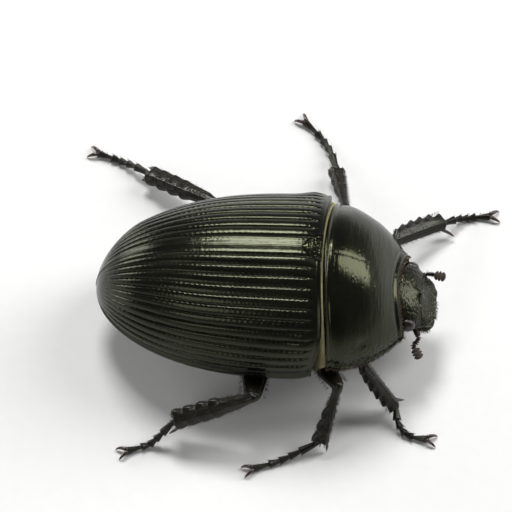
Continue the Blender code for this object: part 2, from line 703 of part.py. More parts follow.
def claw(name, tip_joint, yaw, sign, spread):
    """One hooked claw at the end of a foot, its point on the floor."""
    ahead = aim(yaw + spread, 0.0, sign)
    aside = aim(yaw + (90 if spread > 0 else -90), 0.0, sign)
    root = tip_joint + aside * 0.07 + Vector((0.0, 0.0, 0.004 * spread / CLAW_SPREAD))
    stations = []
    for along, up, size in ((-0.16, 0.01, 0.13), (0.30, 0.09, 0.15), (CLAW_LENGTH, -0.14, 0.05)):
        stations.append((root + ahead * along + Vector((0.0, 0.0, up)), size, size * 0.97))
    return body_from(name, *rod(stations, 4), "chitin_leg")


def tarsus(pair, side):
    """The five-jointed foot and its two claws, cut flat where it rests on the floor."""
    sign = SIDES[side]
    _, _, _, joints = leg_joints(pair, side)
    stations = []
    for k, (start, end) in enumerate(zip(joints, joints[1:])):
        for part, size in ((0.08, 0.215), (0.88, 0.29)):
            stations.append((start.lerp(end, part), size, size * 0.96))
    stations.append((joints[-1], 0.2, 0.2))
    stations.insert(0, (joints[0], 0.25, 0.25))
    back = (joints[1] - joints[0]).normalized() * 0.16
    stations.insert(0, (joints[0] - back, 0.19, 0.19))
    name = f"tarsus_{pair}_{side}"
    made = body_from(name, *rod(stations, 6), "chitin_leg", joints[0])
    for k, spread in enumerate((-CLAW_SPREAD, CLAW_SPREAD)):
        combine(made, claw(f"claw{k}_{name}", joints[-1], LEG_POSE[pair, side][6], sign, spread), "UNION")
    combine(made, bpy.data.objects["floor_room"], "DIFFERENCE")
    return made


def floor_room():
    """Everything below the floor, cut from the feet so that they rest on small flats."""
    corners = [(x, y, z) for z in (-3.0, 0.0) for x, y in ((-30, -30), (30, -30), (30, 30), (-30, 30))]
    faces = [(0, 1, 2, 3), (4, 5, 6, 7), (0, 1, 5, 4), (1, 2, 6, 5), (2, 3, 7, 6), (3, 0, 4, 7)]
    made = body_from("floor_room", corners, faces, "chitin")
    made.hide_render = True
    made.display_type = "WIRE"


def build():
    for old in list(bpy.data.objects):
        bpy.data.objects.remove(old, do_unlink=True)
    beetle = bpy.data.objects.new("beetle", None)
    bpy.context.scene.collection.objects.link(beetle)
    beetle.location = BODY_AT * MM
    floor_room()
    case_pair = [elytron(side) for side in SIDES]
    shield = body_from("scutellum", *scutellum_shape(0.0, -0.55, 0.02), "chitin")
    for k, case in enumerate(case_pair):
        room = body_from(f"scutellum_room_{k}", *scutellum_shape(GAP, -1.5, 1.0), "chitin")
        combine(case, room, "DIFFERENCE")
    belly, trunk, neck_plate, neck_floor = abdomen(), thorax(), pronotum(), prosternum()
    head()
    labrum()
    head_room = body_from("head_room", *head_shape(GAP + 0.02), "chitin")
    combine(neck_plate, head_room, "DIFFERENCE")
    combine(neck_floor, head_room, "DIFFERENCE")
    for side in SIDES:
        combine(neck_plate, bpy.data.objects[f"eye_room_{side}"], "DIFFERENCE")
        eye(side)
        mandible(side)
        palp(side)
        antenna(side)
        antenna_club(side)
        for pair in LEG_SIZES:
            femur_room(pair, side)
            coxa(pair, side)
            femur(pair, side)
            tibia(pair, side)
            tarsus(pair, side)
            room = coxa_room(pair, side)
            combine({"fore": neck_floor, "mid": trunk, "hind": trunk}[pair], room, "DIFFERENCE")
            if pair == "fore":
                combine(neck_floor, bpy.data.objects[f"femur_room_{pair}_{side}"], "DIFFERENCE")
            if pair == "hind":
                combine(belly, room, "DIFFERENCE")
                combine(belly, bpy.data.objects[f"femur_room_{pair}_{side}"], "DIFFERENCE")
                combine(trunk, bpy.data.objects[f"femur_room_{pair}_{side}"], "DIFFERENCE")


build()
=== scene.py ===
"""The looks of a life-size dor beetle (dung beetle): furrowed wing cases, neck shield, head, legs and hair.

Lengths are millimetres in the beetle's own frame: +X to the head, +Y to its left side, +Z up from the floor.
"""

from math import cos, pi, radians, sin

import bmesh
import bpy
import numpy as np
from mathutils import Matrix, Quaternion, Vector


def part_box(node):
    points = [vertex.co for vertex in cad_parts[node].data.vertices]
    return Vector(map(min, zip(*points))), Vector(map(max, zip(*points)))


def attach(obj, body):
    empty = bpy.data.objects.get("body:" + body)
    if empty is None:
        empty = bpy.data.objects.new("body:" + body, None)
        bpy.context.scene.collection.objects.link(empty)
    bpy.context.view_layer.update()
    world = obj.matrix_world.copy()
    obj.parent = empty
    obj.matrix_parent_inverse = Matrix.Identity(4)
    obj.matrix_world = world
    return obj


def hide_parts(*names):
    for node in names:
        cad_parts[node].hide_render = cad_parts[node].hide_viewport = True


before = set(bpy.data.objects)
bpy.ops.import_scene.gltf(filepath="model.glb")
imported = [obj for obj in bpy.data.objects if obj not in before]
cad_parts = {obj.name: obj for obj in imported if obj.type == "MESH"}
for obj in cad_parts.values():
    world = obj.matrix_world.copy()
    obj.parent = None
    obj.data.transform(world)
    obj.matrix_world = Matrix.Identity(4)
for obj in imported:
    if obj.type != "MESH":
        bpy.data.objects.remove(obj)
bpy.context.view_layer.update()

MM = 0.001
SIDES = {"left": 1, "right": -1}
UP = np.array((0.0, 0.0, 1.0))
RNG = np.random.default_rng(7)

# The forms of the solids, which the shown pieces follow
TAIL_X = -10.9
WIDEST_X = 1.5
BASE_X = 3.5
BASE_BOW = 0.55
HULL_HALF_WIDTH = 6.30
HULL_CROWN = 5.95
SHOULDER_TAPER = 0.38
CROWN_DROP = 0.38
PLAN_POWERS = (2.22, 1.84)
CROWN_POWERS = (3.5, 2.15)
MARGIN_Z_TAIL = 3.25
MARGIN_SLOPE = 0.07
HUMERAL_X = 1.8
HUMERAL_RISE = 0.75
SHOULDER_ROUND = 0.8
SHELL = 0.55
SEAM = 0.03
BELLY_Z = 2.15
BELLY_POWER = 1.9
THORAX_BACK_X = -0.66
THORAX_FRONT_X = 3.3
STERNITES = 6
STERNITE_STEP = 0.14
INNER = 0.67  # how far inside the wing cases' dome the trunk lies
TRUNK_TOP = 61  # columns of a trunk's rings that run over its top
PRONOTUM_BACK_X = 3.6
PRONOTUM_FRONT_X = 8.35
PRONOTUM_MARGIN = ((0.0, 5.62), (0.16, 5.66), (0.38, 5.36), (0.6, 4.80), (0.8, 4.02), (1.0, 2.92))
PRONOTUM_CROWN = ((0.0, 4.98), (0.2, 4.92), (0.5, 4.40), (0.75, 3.45), (1.0, 1.85))
PRONOTUM_RIM_Z = (4.68, 4.30)
UNDERCUT = 0.52
NECK = 1.1  # how far inside the wing cases' dome the waist behind the neck shield lies
HEAD_AT = np.array((8.25, 0.0, 4.75))
HEAD_PITCH = 24.0
HEAD_STATIONS = (  # forward, half width, top, bottom
    (-0.75, 1.30, 0.62, -0.85),
    (-0.30, 1.80, 0.90, -1.15),
    (0.20, 2.12, 1.02, -1.35),
    (0.70, 2.30, 1.00, -1.38),
    (1.10, 2.26, 0.90, -1.25),
    (1.45, 2.05, 0.76, -1.08),
    (1.75, 1.82, 0.60, -0.92),
    (2.10, 1.70, 0.42, -0.74),
    (2.46, 1.46, 0.24, -0.55),
    (2.76, 1.06, 0.08, -0.38),
)
EYE_AT = (0.86, 2.06, 0.12)
EYE_RADII = (0.52, 0.42, 0.50)
TUBERCLE_X = 1.25
FEELER_ROOT = (1.55, 1.78, -0.42)
FEELER_POSE = {
    "left": ((10.06, 1.96, 4.06), (10.18, 2.00, 4.06), (10.26, 2.02, 4.05), (10.34, 2.02, 4.04)),
    "right": ((9.86, 2.34, 3.58), (9.80, 2.58, 3.44), (9.66, 2.74, 3.34), (9.52, 2.82, 3.28)),
}
CLUB_AXIS = {"left": (0.94, -0.06, -0.2), "right": (0.52, 0.70, -0.5)}
SCUTELLUM_HALF_WIDTH = 0.95
SCUTELLUM_LENGTH = 1.25
KNOB = 0.36
FOOT_Z = 0.22
LEG_SIZES = {  # a femur or tibia is its length, half width and half thickness
    "fore": {
        "coxa_at": (6.30, 1.15, 2.72),
        "coxa_radii": (0.80, 0.82, 0.98),
        "hip_at": (6.50, 1.40, 1.98),
        "femur": (3.78, 0.72, 0.50),
        "tibia": (4.52, 0.76, 0.30),
        "tarsus": (0.88, 0.54, 0.48, 0.52, 0.91),
    },
    "mid": {
        "coxa_at": (2.50, 1.85, 2.30),
        "coxa_radii": (0.78, 0.90, 0.75),
        "hip_at": (2.70, 2.30, 1.85),
        "femur": (5.43, 0.66, 0.46),
        "tibia": (4.11, 0.47, 0.38),
        "tarsus": (1.44, 0.75, 0.67, 0.70, 1.12),
    },
    "hind": {
        "coxa_at": (0.00, 1.62, 2.20),
        "coxa_radii": (0.60, 1.15, 0.64),
        "hip_at": (-0.35, 1.90, 1.72),
        "femur": (6.42, 0.86, 0.44),
        "tibia": (5.36, 0.60, 0.46),
        "tarsus": (1.25, 0.66, 0.58, 0.58, 0.95),
    },
}
LEG_POSE = {  # yaw and pitch of the femur, then of the tibia, its roll, and the tarsus' first and last yaw
    ("fore", "left"): (75, 6, 37, -18, 28, 38, 7),
    ("fore", "right"): (97, 36, 31, -49, 15, 81, 6),
    ("mid", "left"): (70, 6, 102, -23, 10, 107, 137),
    ("mid", "right"): (62, 25, 113, -54, 10, 152, 158),
    ("hind", "left"): (122, 4, 150, -14, 10, 146, 164),
    ("hind", "right"): (90, 22, 171, -24, 10, 147, 159),
}
FORE_TEETH = 6
SHIN_COMBS = {"mid": 3, "hind": 4}
BLADE_EDGE = ((0.0, 0.62), (0.14, 0.98), (0.45, 1.10), (0.75, 0.98), (1.0, 0.60))
SHIN_SWELL = {
    "mid": ((0.0, 0.46), (0.5, 0.71), (1.0, 1.0)),
    "hind": ((0.0, 0.60), (0.35, 0.88), (0.65, 1.0), (1.0, 1.0)),
}
TARSUS_RADII = ((0.17, 0.27), *[(0.15, 0.255)] * 3, (0.13, 0.235))  # base and tip of each joint
CLAW_SPREAD = 24.0

# The beetle's frame in the world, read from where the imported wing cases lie
CASE_LOW, CASE_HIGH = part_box("elytron_right")[0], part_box("elytron_left")[1]
BODY_AT = np.array((CASE_LOW.x / MM - TAIL_X - 0.02, (CASE_LOW.y + CASE_HIGH.y) / 2 / MM, 0.0))

# Sculpture of the shell
STRIAE = 14  # furrows of a wing case, from the suture to the side margin
STRIA_DEPTH = 0.075
STRIA_WIDTH = 0.11  # share of the space between two furrows
STRIA_CROWN = 0.05
STRIA_PITS = 0.33  # spacing of the pits along a furrow
CREASE = 50.0  # the least angle of an edge that shows sharp

# Hair
HAIR_ROWS = 4
PATCH = 0.003  # width of a hair's patch in the coat's map
TILES = 6  # tiles of the map from side to side


# ---- Mesh helpers ----

def grid(*coordinates):
    """Points from their coordinates, spread to one shape."""
    return np.stack(np.broadcast_arrays(*coordinates), axis=-1)


def circle(count):
    return 2 * pi * np.arange(count) / count


def bent(value, power):
    """A power that keeps the sign, which squares or sharpens a round outline."""
    return np.sign(value) * np.abs(value) ** power


def sided(points, side):
    """Points of the left side, or their mirror image on the right side."""
    return np.asarray(points, float) * (1, SIDES[side], 1)


def curve(keys, values, at):
    """Smooth values at each place, through values at rising keys, that don't overshoot them."""
    keys, values, at = (np.asarray(a, float) for a in (keys, values, at))
    steps = np.diff(keys)
    slopes = (np.diff(values, axis=0).T / steps).T
    tangents = np.zeros_like(values)
    product, total = slopes[1:] * slopes[:-1], slopes[1:] + slopes[:-1]
    tangents[1:-1] = np.where(product > 0, 2 * product / np.where(product > 0, total, 1.0), 0.0)
    tangents[0], tangents[-1] = slopes[0], slopes[-1]
    k = np.clip(np.searchsorted(keys, at, side="right") - 1, 0, len(keys) - 2)
    h, t = steps[k], np.clip((at - keys[k]) / steps[k], 0.0, 1.0)
    if values.ndim > 1:
        h, t = h[..., None], t[..., None]
    return ((2 * t**3 - 3 * t**2 + 1) * values[k] + (t**3 - 2 * t**2 + t) * h * tangents[k]
            + (3 * t**2 - 2 * t**3) * values[k + 1] + (t**3 - t**2) * h * tangents[k + 1])


def unit(vectors):
    return vectors / np.maximum(np.linalg.norm(vectors, axis=-1, keepdims=True), 1e-9)


def bell(distance, width):
    return np.exp(-(distance / width) ** 2)


def ease(low, high, at):
    t = np.clip((at - low) / (high - low), 0.0, 1.0)
    return t * t * (3 - 2 * t)


def dense_ends(low, high, edge, middle):
    """Places from low to high, some between the edges and twelve close together in each edge."""
    parts = (low, low + edge, 12), (low + edge, high - edge, middle), (high - edge, high, 12)
    return np.unique(np.concatenate([np.linspace(*part) for part in parts]))


def travel_along(line):
    """The way along a line of points to each of them."""
    return np.append(0.0, np.cumsum(np.linalg.norm(np.diff(line, axis=0), axis=1)))


def pits(u, v, cell, radius, seed, cover=1.0):
    """Depth, from 0 to 1, of round pits scattered one to a cell over a surface's (u, v) in millimetres."""
    found = np.zeros(np.broadcast(u, v).shape)
    for du, dv in np.ndindex(3, 3):
        a, b = np.floor(u / cell) + du - 1, np.floor(v / cell) + dv - 1
        wave = a * 12.9898 + b * 78.233 + seed * 37.719
        shift_u, shift_v, size, chance = (np.modf(np.abs(np.sin(wave + salt * 9.17) * 43758.5453))[0]
                                          for salt in (1, 2, 3, 4))
        at_u, at_v = (a + 0.1 + 0.8 * shift_u) * cell, (b + 0.1 + 0.8 * shift_v) * cell
        reach = radius * (0.55 + 0.45 * size)
        depth = np.exp(-(((u - at_u) ** 2 + (v - at_v) ** 2) / reach**2) ** 1.5)
        found = np.maximum(found, depth * (chance < cover))
    return found


def outward(points, inside=None):
    """Unit normals, pointing out, of closed rings or of an open sheet round a point inside it."""
    if inside is None:
        inside = points.mean(axis=1, keepdims=True)
        across = np.roll(points, -1, axis=1) - np.roll(points, 1, axis=1)
    else:
        across = np.gradient(points, axis=1)
    normals = unit(np.cross(np.gradient(points, axis=0), across))
    return normals * np.where((normals * (points - inside)).sum(axis=-1, keepdims=True) < 0, -1.0, 1.0)


def carve(points, height, inside=None):
    """The surface moved out along its normals by a height."""
    return points + outward(points, inside) * height[..., None]


def quads(rows, columns, wrap=False):
    index = np.arange(rows * columns).reshape(rows, columns)
    if wrap:
        index = np.concatenate([index, index[:, :1]], axis=1)
    return np.stack([index[:-1, :-1], index[:-1, 1:], index[1:, 1:], index[1:, :-1]], axis=-1).reshape(-1, 4)


def skin(rings, hollow=0.0):
    """A closed part through rings, (rows, columns, 3), with a cap at each end: points, faces, hollowness."""
    hollow = np.broadcast_to(hollow, rings.shape[:2])
    first, last = rings[0].mean(axis=0), rings[-1].mean(axis=0)
    shrink = np.array((0.45, 0.9))[:, None, None]
    rings = np.concatenate([first + (rings[0] - first) * shrink, rings,
                            last + (rings[-1] - last) * shrink[::-1]])
    hollow = np.concatenate([hollow[[0, 0]], hollow, hollow[[-1, -1]]])
    rows, columns = hollow.shape
    faces = quads(rows, columns, wrap=True).tolist()
    end = (rows - 1) * columns
    for k in range(columns):
        beside = (k + 1) % columns
        faces += [(k, beside, hollow.size), (end + beside, end + k, hollow.size + 1)]
    return np.concatenate([rings.reshape(-1, 3), [first, last]]), faces, np.append(hollow, (0.0, 0.0))


def rod(centres, radii, around, rows, blunt=(0.0, 0.0)):
    """Rings of a rod through centres with (across, up) radii. Blunt rounds each end over that length."""
    centres, radii = np.asarray(centres, float), np.asarray(radii, float)
    radii = np.stack([radii, radii], axis=1) if radii.ndim == 1 else radii
    travel = travel_along(centres)
    at = np.linspace(0.0, travel[-1], rows)
    for length, place in zip(blunt, (0.0, travel[-1])):
        if length:
            at = np.append(at, np.abs(place - length * (1 - np.cos(np.linspace(0.0, pi / 2, 7)))))
    at = np.unique(np.round(at, 5))
    line, size = curve(travel, centres, at), curve(travel, radii, at)
    for length, gone in zip(blunt, (at, travel[-1] - at)):
        if length:
            share = np.clip(gone / length, 0.0, 1.0)
            size = size * np.maximum(np.sqrt(1 - (1 - share) ** 2), 0.03)[:, None]
    ahead = unit(np.gradient(line, axis=0))
    across = unit(np.cross(UP, ahead))
    above = np.cross(ahead, across)
    wide, tall = size[:, :1] * np.cos(circle(around)), size[:, 1:] * np.sin(circle(around))
    return line[:, None] + across[:, None] * wide[..., None] + above[:, None] * tall[..., None]


def ellipsoid(middle, radii, around=40, rows=24):
    lat = np.linspace(-pi / 2 + 0.02, pi / 2 - 0.02, rows)[:, None]
    turn = circle(around)
    return middle + grid(np.cos(lat) * np.cos(turn), np.cos(lat) * np.sin(turn), np.sin(lat)) * radii


def zip_edges(fine, coarse):
    """Triangles between two open runs of vertices, given by their indices."""
    found, i, j = [], 0, 0
    last_i, last_j = len(fine) - 1, len(coarse) - 1
    while i < last_i or j < last_j:
        if (i + 1) * last_j <= (j + 1) * last_i:
            found.append((fine[i], fine[i + 1], coarse[j]))
            i += 1
        else:
            found.append((fine[i], coarse[j + 1], coarse[j]))
            j += 1
    return found


def plate(outer, inner, hollow):
    """A closed plate between a fine outer grid and a coarser inner grid with the same corners."""
    fine = np.arange(hollow.size).reshape(hollow.shape)
    coarse = hollow.size + np.arange(inner.size // 3).reshape(inner.shape[:2])
    faces = quads(*fine.shape).tolist() + (quads(*coarse.shape)[:, ::-1] + hollow.size).tolist()
    for edge in (np.s_[0], np.s_[-1], np.s_[:, 0], np.s_[:, -1]):
        faces += zip_edges(fine[edge].tolist(), coarse[edge].tolist())
    points = np.concatenate([outer.reshape(-1, 3), inner.reshape(-1, 3)])
    return points, faces, np.append(hollow, np.zeros(coarse.size))


def in_world(points):
    return ((points + BODY_AT) * MM).tolist()


def piece(name, parts, finish, stands_for=()):
    """A shown piece joined from (points, faces, hollowness) parts in the beetle's frame."""
    faces, first = [], 0
    for part_points, part_faces, _ in parts:
        faces += [tuple(first + corner for corner in face) for face in part_faces]
        first += len(part_points)
    points, hollow = (np.concatenate([part[k] for part in parts]) for k in (0, 2))
    points[:, 2] = np.maximum(points[:, 2], 0.0)
    mesh = bpy.data.meshes.new(name)
    mesh.from_pydata(in_world(points), [], faces)
    work = bmesh.new()
    work.from_mesh(mesh)
    bmesh.ops.recalc_face_normals(work, faces=work.faces)
    work.to_mesh(mesh)
    work.free()
    mesh.shade_smooth()
    mesh.set_sharp_from_angle(angle=radians(CREASE))
    mesh.attributes.new("hollow", "FLOAT", "POINT").data.foreach_set("value", hollow)
    dress(name, mesh, finish, stands_for)


def shown(name, data):
    """An object made of a mesh, camera or lamp, in the scene."""
    made = bpy.data.objects.new(name, data)
    bpy.context.scene.collection.objects.link(made)
    return made


def dress(name, mesh, finish, stands_for=()):
    """Shows a mesh as a piece with its finish and the nodes that it stands for."""
    made = shown(name, mesh)
    mesh.materials.append(finish)
    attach(made, "root")
    if stands_for:
        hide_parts(*stands_for)


# ---- Hair ----

class Coat:
    """Hairs gathered for one piece: bent bristles of three sides, each with a patch of the coat's map."""

    def __init__(self):
        self.hairs = []

    def add(self, roots, heads, length, radius, spots, tile, bend=(0.0, 0.0, 0.0), spread=0.25):
        """Hairs at roots along heads, varied a little. Spots are the roots' (u, v) in a tile of the map."""
        heads = unit(heads + RNG.normal(0, spread, roots.shape))
        length = length * RNG.uniform(0.7, 1.15, (len(roots), 1))
        places = (grid(*spots) * 0.94 + 0.03 + (tile % TILES, tile // TILES)) / TILES
        self.hairs.append((roots, heads, np.array(bend) * length, length, 0 * length + radius, places))

    def make(self, name, finish, slot):
        """One piece of all the hairs."""
        roots, heads, bends, lengths, radii, places = map(np.concatenate, zip(*self.hairs))
        share = np.linspace(0.0, 1.0, HAIR_ROWS)
        line = (roots[:, None] + heads[:, None] * (lengths * share)[..., None]
                + bends[:, None] * (share**2)[:, None])
        across = unit(np.cross(heads, UP + 0.01 * heads[:, ::-1]))
        round_it = grid(np.cos(circle(3)), np.sin(circle(3)))
        spin = across[:, None] * round_it[:, :1] + np.cross(heads, across)[:, None] * round_it[:, 1:]
        width = radii * (1 - share) ** 0.7
        rings = line[:, :-1, None] + spin[:, None] * width[:, :-1, None, None]
        points = np.concatenate([rings.reshape(len(roots), -1, 3), line[:, -1:]], axis=1)
        points[..., 2] = np.maximum(points[..., 2], 0.01)
        patch = [round_it * PATCH / 2 * (1 - 0.3 * k) for k in range(HAIR_ROWS - 1)]
        spots = places[:, None] + np.concatenate([*patch, [(0.0, 0.0)]])
        sides, tip = ((0, 1), (1, 2), (2, 0)), points.shape[1] - 1
        faces = [(0, 2, 1)]
        for k in range(0, tip - 3, 3):
            for a, b in sides:
                faces += [(k + a, k + b, k + b + 3), (k + a, k + b + 3, k + a + 3)]
        faces += [(tip - 3 + a, tip - 3 + b, tip) for a, b in sides]
        corners = (np.array(faces) + (tip + 1) * np.arange(len(roots))[:, None, None]).reshape(-1, 3)
        mesh = bpy.data.meshes.new(name)
        mesh.from_pydata(in_world(points.reshape(-1, 3)), [], corners.tolist())
        spots = spots.reshape(-1, 2)[corners.ravel()]
        mesh.uv_layers.new(name="OFBake").data.foreach_set("uv", spots.ravel())
        mesh.shade_smooth()
        dress(name, mesh, finish)


# ---- Materials ----

def rgba(value):
    """A colour from (red, green, blue), or a grey from one number."""
    return (*value, 1.0) if isinstance(value, tuple) else (value, value, value, 1.0)


class Nodes:
    """A node tree that short calls add to."""

    def __init__(self, tree):
        self.tree = tree

    def add(self, kind, links=(), **values):
        """A node with lower-case settings and capital input values, linked from (input, socket) pairs."""
        node = self.tree.nodes.new("ShaderNode" + kind)
        for key, value in values.items():
            if key.islower():
                setattr(node, key, value)
            else:
                node.inputs[key].default_value = value
        for key, socket in links:
            self.tree.links.new(socket, node.inputs[key])
        return node

    def ramp(self, factor, *stops):
        node = self.add("ValToRGB", [("Fac", factor)])
        for _ in stops[2:]:
            node.color_ramp.elements.new(0.5)
        for element, (position, value) in zip(node.color_ramp.elements, stops):
            element.position, element.color = position, rgba(value)
        return node.outputs["Color"]

    def mix(self, factor, a, b, blend="MIX"):
        node = self.add("Mix", data_type="RGBA", blend_type=blend)
        for key, value in ((0, factor), (6, a), (7, b)):
            if isinstance(value, bpy.types.NodeSocket):
                self.tree.links.new(value, node.inputs[key])
            else:
                node.inputs[key].default_value = rgba(value) if key else value
        return node.outputs[2]

    def times(self, a, b):
        return self.mix(1.0, a, b, "MULTIPLY")


class Finish(Nodes):
    """A material in the making, its textures placed by object coordinates in millimetres."""

    def __init__(self, name, roughness, coat=0.0, specular=0.5, tint=1.0, sheen=(0.0, 0.5)):
        self.material = bpy.data.materials.new(name)
        self.material.use_nodes = True
        super().__init__(self.material.node_tree)
        self.shader = self.tree.nodes["Principled BSDF"].inputs
        for key, value in (("Roughness", roughness), ("Coat Weight", coat), ("Coat Roughness", 0.12),
                           ("Specular IOR Level", specular), ("Specular Tint", rgba(tint)),
                           ("Sheen Weight", sheen[0]), ("Sheen Roughness", sheen[1])):
            self.shader[key].default_value = value
        links = [(0, self.add("TexCoord").outputs["Object"])]
        self.where = self.add("VectorMath", links, operation="SCALE", Scale=1 / MM).outputs[0]

    def noise(self, scale, detail=3.0, where=None):
        links = [("Vector", where or self.where)]
        return self.add("TexNoise", links, Scale=scale, Detail=detail).outputs["Fac"]

    def cells(self, scale, randomness=1.0):
        links = [("Vector", self.where)]
        node = self.add("TexVoronoi", links, Scale=scale, Randomness=randomness)
        return node.outputs["Distance"]

    def hollow(self):
        """How deep a point lies in the sculpture, or how near it is to a claw's tip."""
        return self.add("Attribute", attribute_name="hollow").outputs["Fac"]

    def made(self, colour, roughness=None, *bumps):
        """The material, given its colour, roughness and bumps, each of (height, strength, depth)."""
        self.tree.links.new(colour, self.shader["Base Color"])
        if roughness:
            self.tree.links.new(roughness, self.shader["Roughness"])
        below = []
        for height, strength, depth in bumps:
            links = [("Height", height), *below]
            node = self.add("Bump", links, Strength=strength, Distance=depth * MM)
            below = [("Normal", node.outputs["Normal"])]
        for _, normal in below:
            self.tree.links.new(normal, self.shader["Normal"])
        return self.material


def chitin(name, dark, light, groove, gloss, tint=1.0, pores=14.0, wrinkle=0.25, wave=0.16, brush=0.04):
    """Shell: near-black, mottled, duller in its hollows, leathery, faintly brushed from side to side."""
    shell = Finish(name, 0.25, coat=0.06, specular=0.27, tint=tint)
    hollow, fine = shell.hollow(), shell.noise(7.0, 5.0)
    body = shell.mix(shell.ramp(shell.noise(0.45, 4.0), (0.35, 0.0), (0.68, 1.0)), dark, light)
    body = shell.times(body, shell.ramp(fine, (0.30, 0.72), (0.75, 1.18)))
    stretched = shell.add("VectorMath", [(0, shell.where)], operation="MULTIPLY")
    stretched.inputs[1].default_value = (3.6, 0.45, 0.45)
    return shell.made(
        shell.mix(shell.ramp(hollow, (0.25, 0.0), (0.9, 0.8)), body, groove),
        shell.mix(shell.ramp(hollow, (0.2, 0.0), (0.8, 0.7)), shell.mix(fine, *gloss), 0.62),
        (shell.cells(pores), 0.10, 0.02), (shell.noise(26.0), wrinkle, 0.012),
        (shell.noise(1.6), wave, 0.12), (shell.noise(1.0, 2.0, stretched.outputs[0]), brush, 0.12))


def eye_finish():
    """Compound eye: small six-sided facets under a dark gloss."""
    eye = Finish("eye_facets", 0.22, coat=0.25, specular=0.35)
    facets = eye.cells(17.0, 0.15)
    glow = eye.mix(eye.noise(2.0), (0.010, 0.006, 0.004), (0.030, 0.016, 0.008))
    flipped = eye.add("Math", [(1, facets)], operation="SUBTRACT")
    flipped.inputs[0].default_value = 1.0
    return eye.made(eye.times(glow, eye.ramp(facets, (0.35, 1.0), (0.62, 0.35))),
                    eye.mix(facets, 0.14, 0.45), (flipped.outputs[0], 0.5, 0.03))


def felt_finish():
    """The club's leaves: dull grey-brown with a silky nap."""
    felt = Finish("club_felt", 0.78, specular=0.25, sheen=(0.35, 0.4))
    nap = felt.noise(38.0, 4.0)
    colour = felt.mix(felt.noise(4.0), (0.030, 0.021, 0.014), (0.066, 0.047, 0.030))
    return felt.made(felt.times(colour, felt.ramp(nap, (0.2, 0.6), (0.8, 1.3))), None, (nap, 0.5, 0.02))


def horn_finish():
    """Claws and spurs: black at the root, reddish brown at the thin tips."""
    horn = Finish("claw_horn", 0.22, coat=0.5)
    grain = horn.noise(9.0, 4.0)
    colour = horn.ramp(horn.hollow(), (0.0, (0.014, 0.009, 0.006)), (0.55, (0.040, 0.014, 0.006)),
                       (1.0, (0.11, 0.036, 0.012)))
    return horn.made(horn.times(colour, horn.ramp(grain, (0.3, 0.75), (0.7, 1.2))),
                     horn.mix(grain, 0.16, 0.34), (grain, 0.2, 0.015))


def hair_finish(name, dark, light):
    hair = Finish(name, 0.42, specular=0.4, sheen=(0.15, 0.5))
    return hair.made(hair.mix(hair.noise(1.3, 4.0), dark, light), hair.mix(hair.noise(12.0), 0.34, 0.55))


def floor_finish():
    paper = Finish("floor_paper", 0.8, specular=0.2)
    fibre = paper.noise(1.2, 5.0)
    return paper.made(paper.mix(fibre, (0.80, 0.80, 0.79), (0.84, 0.84, 0.83)), None, (fibre, 0.03, 0.05))


CASE_SHELL = chitin(
    "wing_case_shell", (0.0038, 0.0042, 0.0034), (0.0075, 0.0082, 0.0052), (0.011, 0.011, 0.0065),
    (0.12, 0.27), (0.90, 0.95, 0.58), pores=11.0, wrinkle=0.16)
SHIELD_SHELL = chitin(
    "shield_shell", (0.0038, 0.0040, 0.0034), (0.0070, 0.0074, 0.0050), (0.011, 0.010, 0.0065),
    (0.11, 0.22), (0.90, 0.95, 0.50), wrinkle=0.06, wave=0.04, brush=0.30)
HEAD_SHELL = chitin(
    "head_shell", (0.0042, 0.0040, 0.0034), (0.0080, 0.0074, 0.0052), (0.012, 0.010, 0.0065),
    (0.18, 0.36), (0.92, 0.96, 0.62))
BELLY_SHELL = chitin(
    "belly_shell", (0.0060, 0.0052, 0.0090), (0.011, 0.0085, 0.017), (0.012, 0.010, 0.0085),
    (0.20, 0.38), (0.78, 0.80, 1.0))
LEG_SHELL = chitin(
    "leg_shell", (0.0060, 0.0048, 0.0038), (0.0105, 0.0084, 0.0056), (0.014, 0.011, 0.007),
    (0.22, 0.40), (0.95, 0.97, 0.85))
FEELER_SHELL = chitin(
    "feeler_shell", (0.014, 0.008, 0.005), (0.028, 0.017, 0.010), (0.022, 0.014, 0.009), (0.28, 0.45))
EYE_FACETS = eye_finish()
CLUB_FELT = felt_finish()
CLAW_HORN = horn_finish()
DARK_HAIR = hair_finish("bristle_dark", (0.012, 0.007, 0.004), (0.040, 0.020, 0.009))
RUST_HAIR = hair_finish("hair_rust", (0.035, 0.018, 0.008), (0.120, 0.064, 0.026))
# Pale olive gold: partly the fringe hair's own colour, partly a painted highlight along the neck shield's
# hind edge and in the gaps beside it
GOLD_HAIR_AND_PAINTED_HIGHLIGHT = hair_finish("hair_gold_and_painted_highlight", (0.225, 0.195, 0.078), (0.640, 0.610, 0.300))


# ---- Wing cases and scutellum ----

def margin_z(x):
    return MARGIN_Z_TAIL + MARGIN_SLOPE * (x - TAIL_X)


def hull_size(x, inset=0.0):
    """Half width and crown height of the wing cases' dome at x."""
    width, crown = HULL_HALF_WIDTH - inset, HULL_CROWN - inset
    ahead = np.clip((x - WIDEST_X) / (BASE_X + BASE_BOW - WIDEST_X), 0.0, None)
    behind = np.clip((WIDEST_X - x) / (WIDEST_X - TAIL_X - inset), 0.0, 0.99999)
    plan, rise = ((1 - behind**a) ** (1 / b) for a, b in (PLAN_POWERS, CROWN_POWERS))
    return width * plan - SHOULDER_TAPER * ahead**3.5, crown * rise - CROWN_DROP * ahead**2


def hull_point(x, share, lean, inset=0.0):
    """Points of the dome: lean 0 is the middle line and a quarter turn is the side margin."""
    x = x + share * (BASE_BOW * np.sin(lean) ** 2 - SHOULDER_ROUND * np.sin(lean) ** 12)
    width, crown = hull_size(x, inset)
    rise = HUMERAL_RISE * np.clip((x - HUMERAL_X) / (BASE_X + BASE_BOW - HUMERAL_X), 0.0, None) ** 2
    return grid(x, width * np.sin(lean), margin_z(x) + rise + (crown - rise) * np.cos(lean))


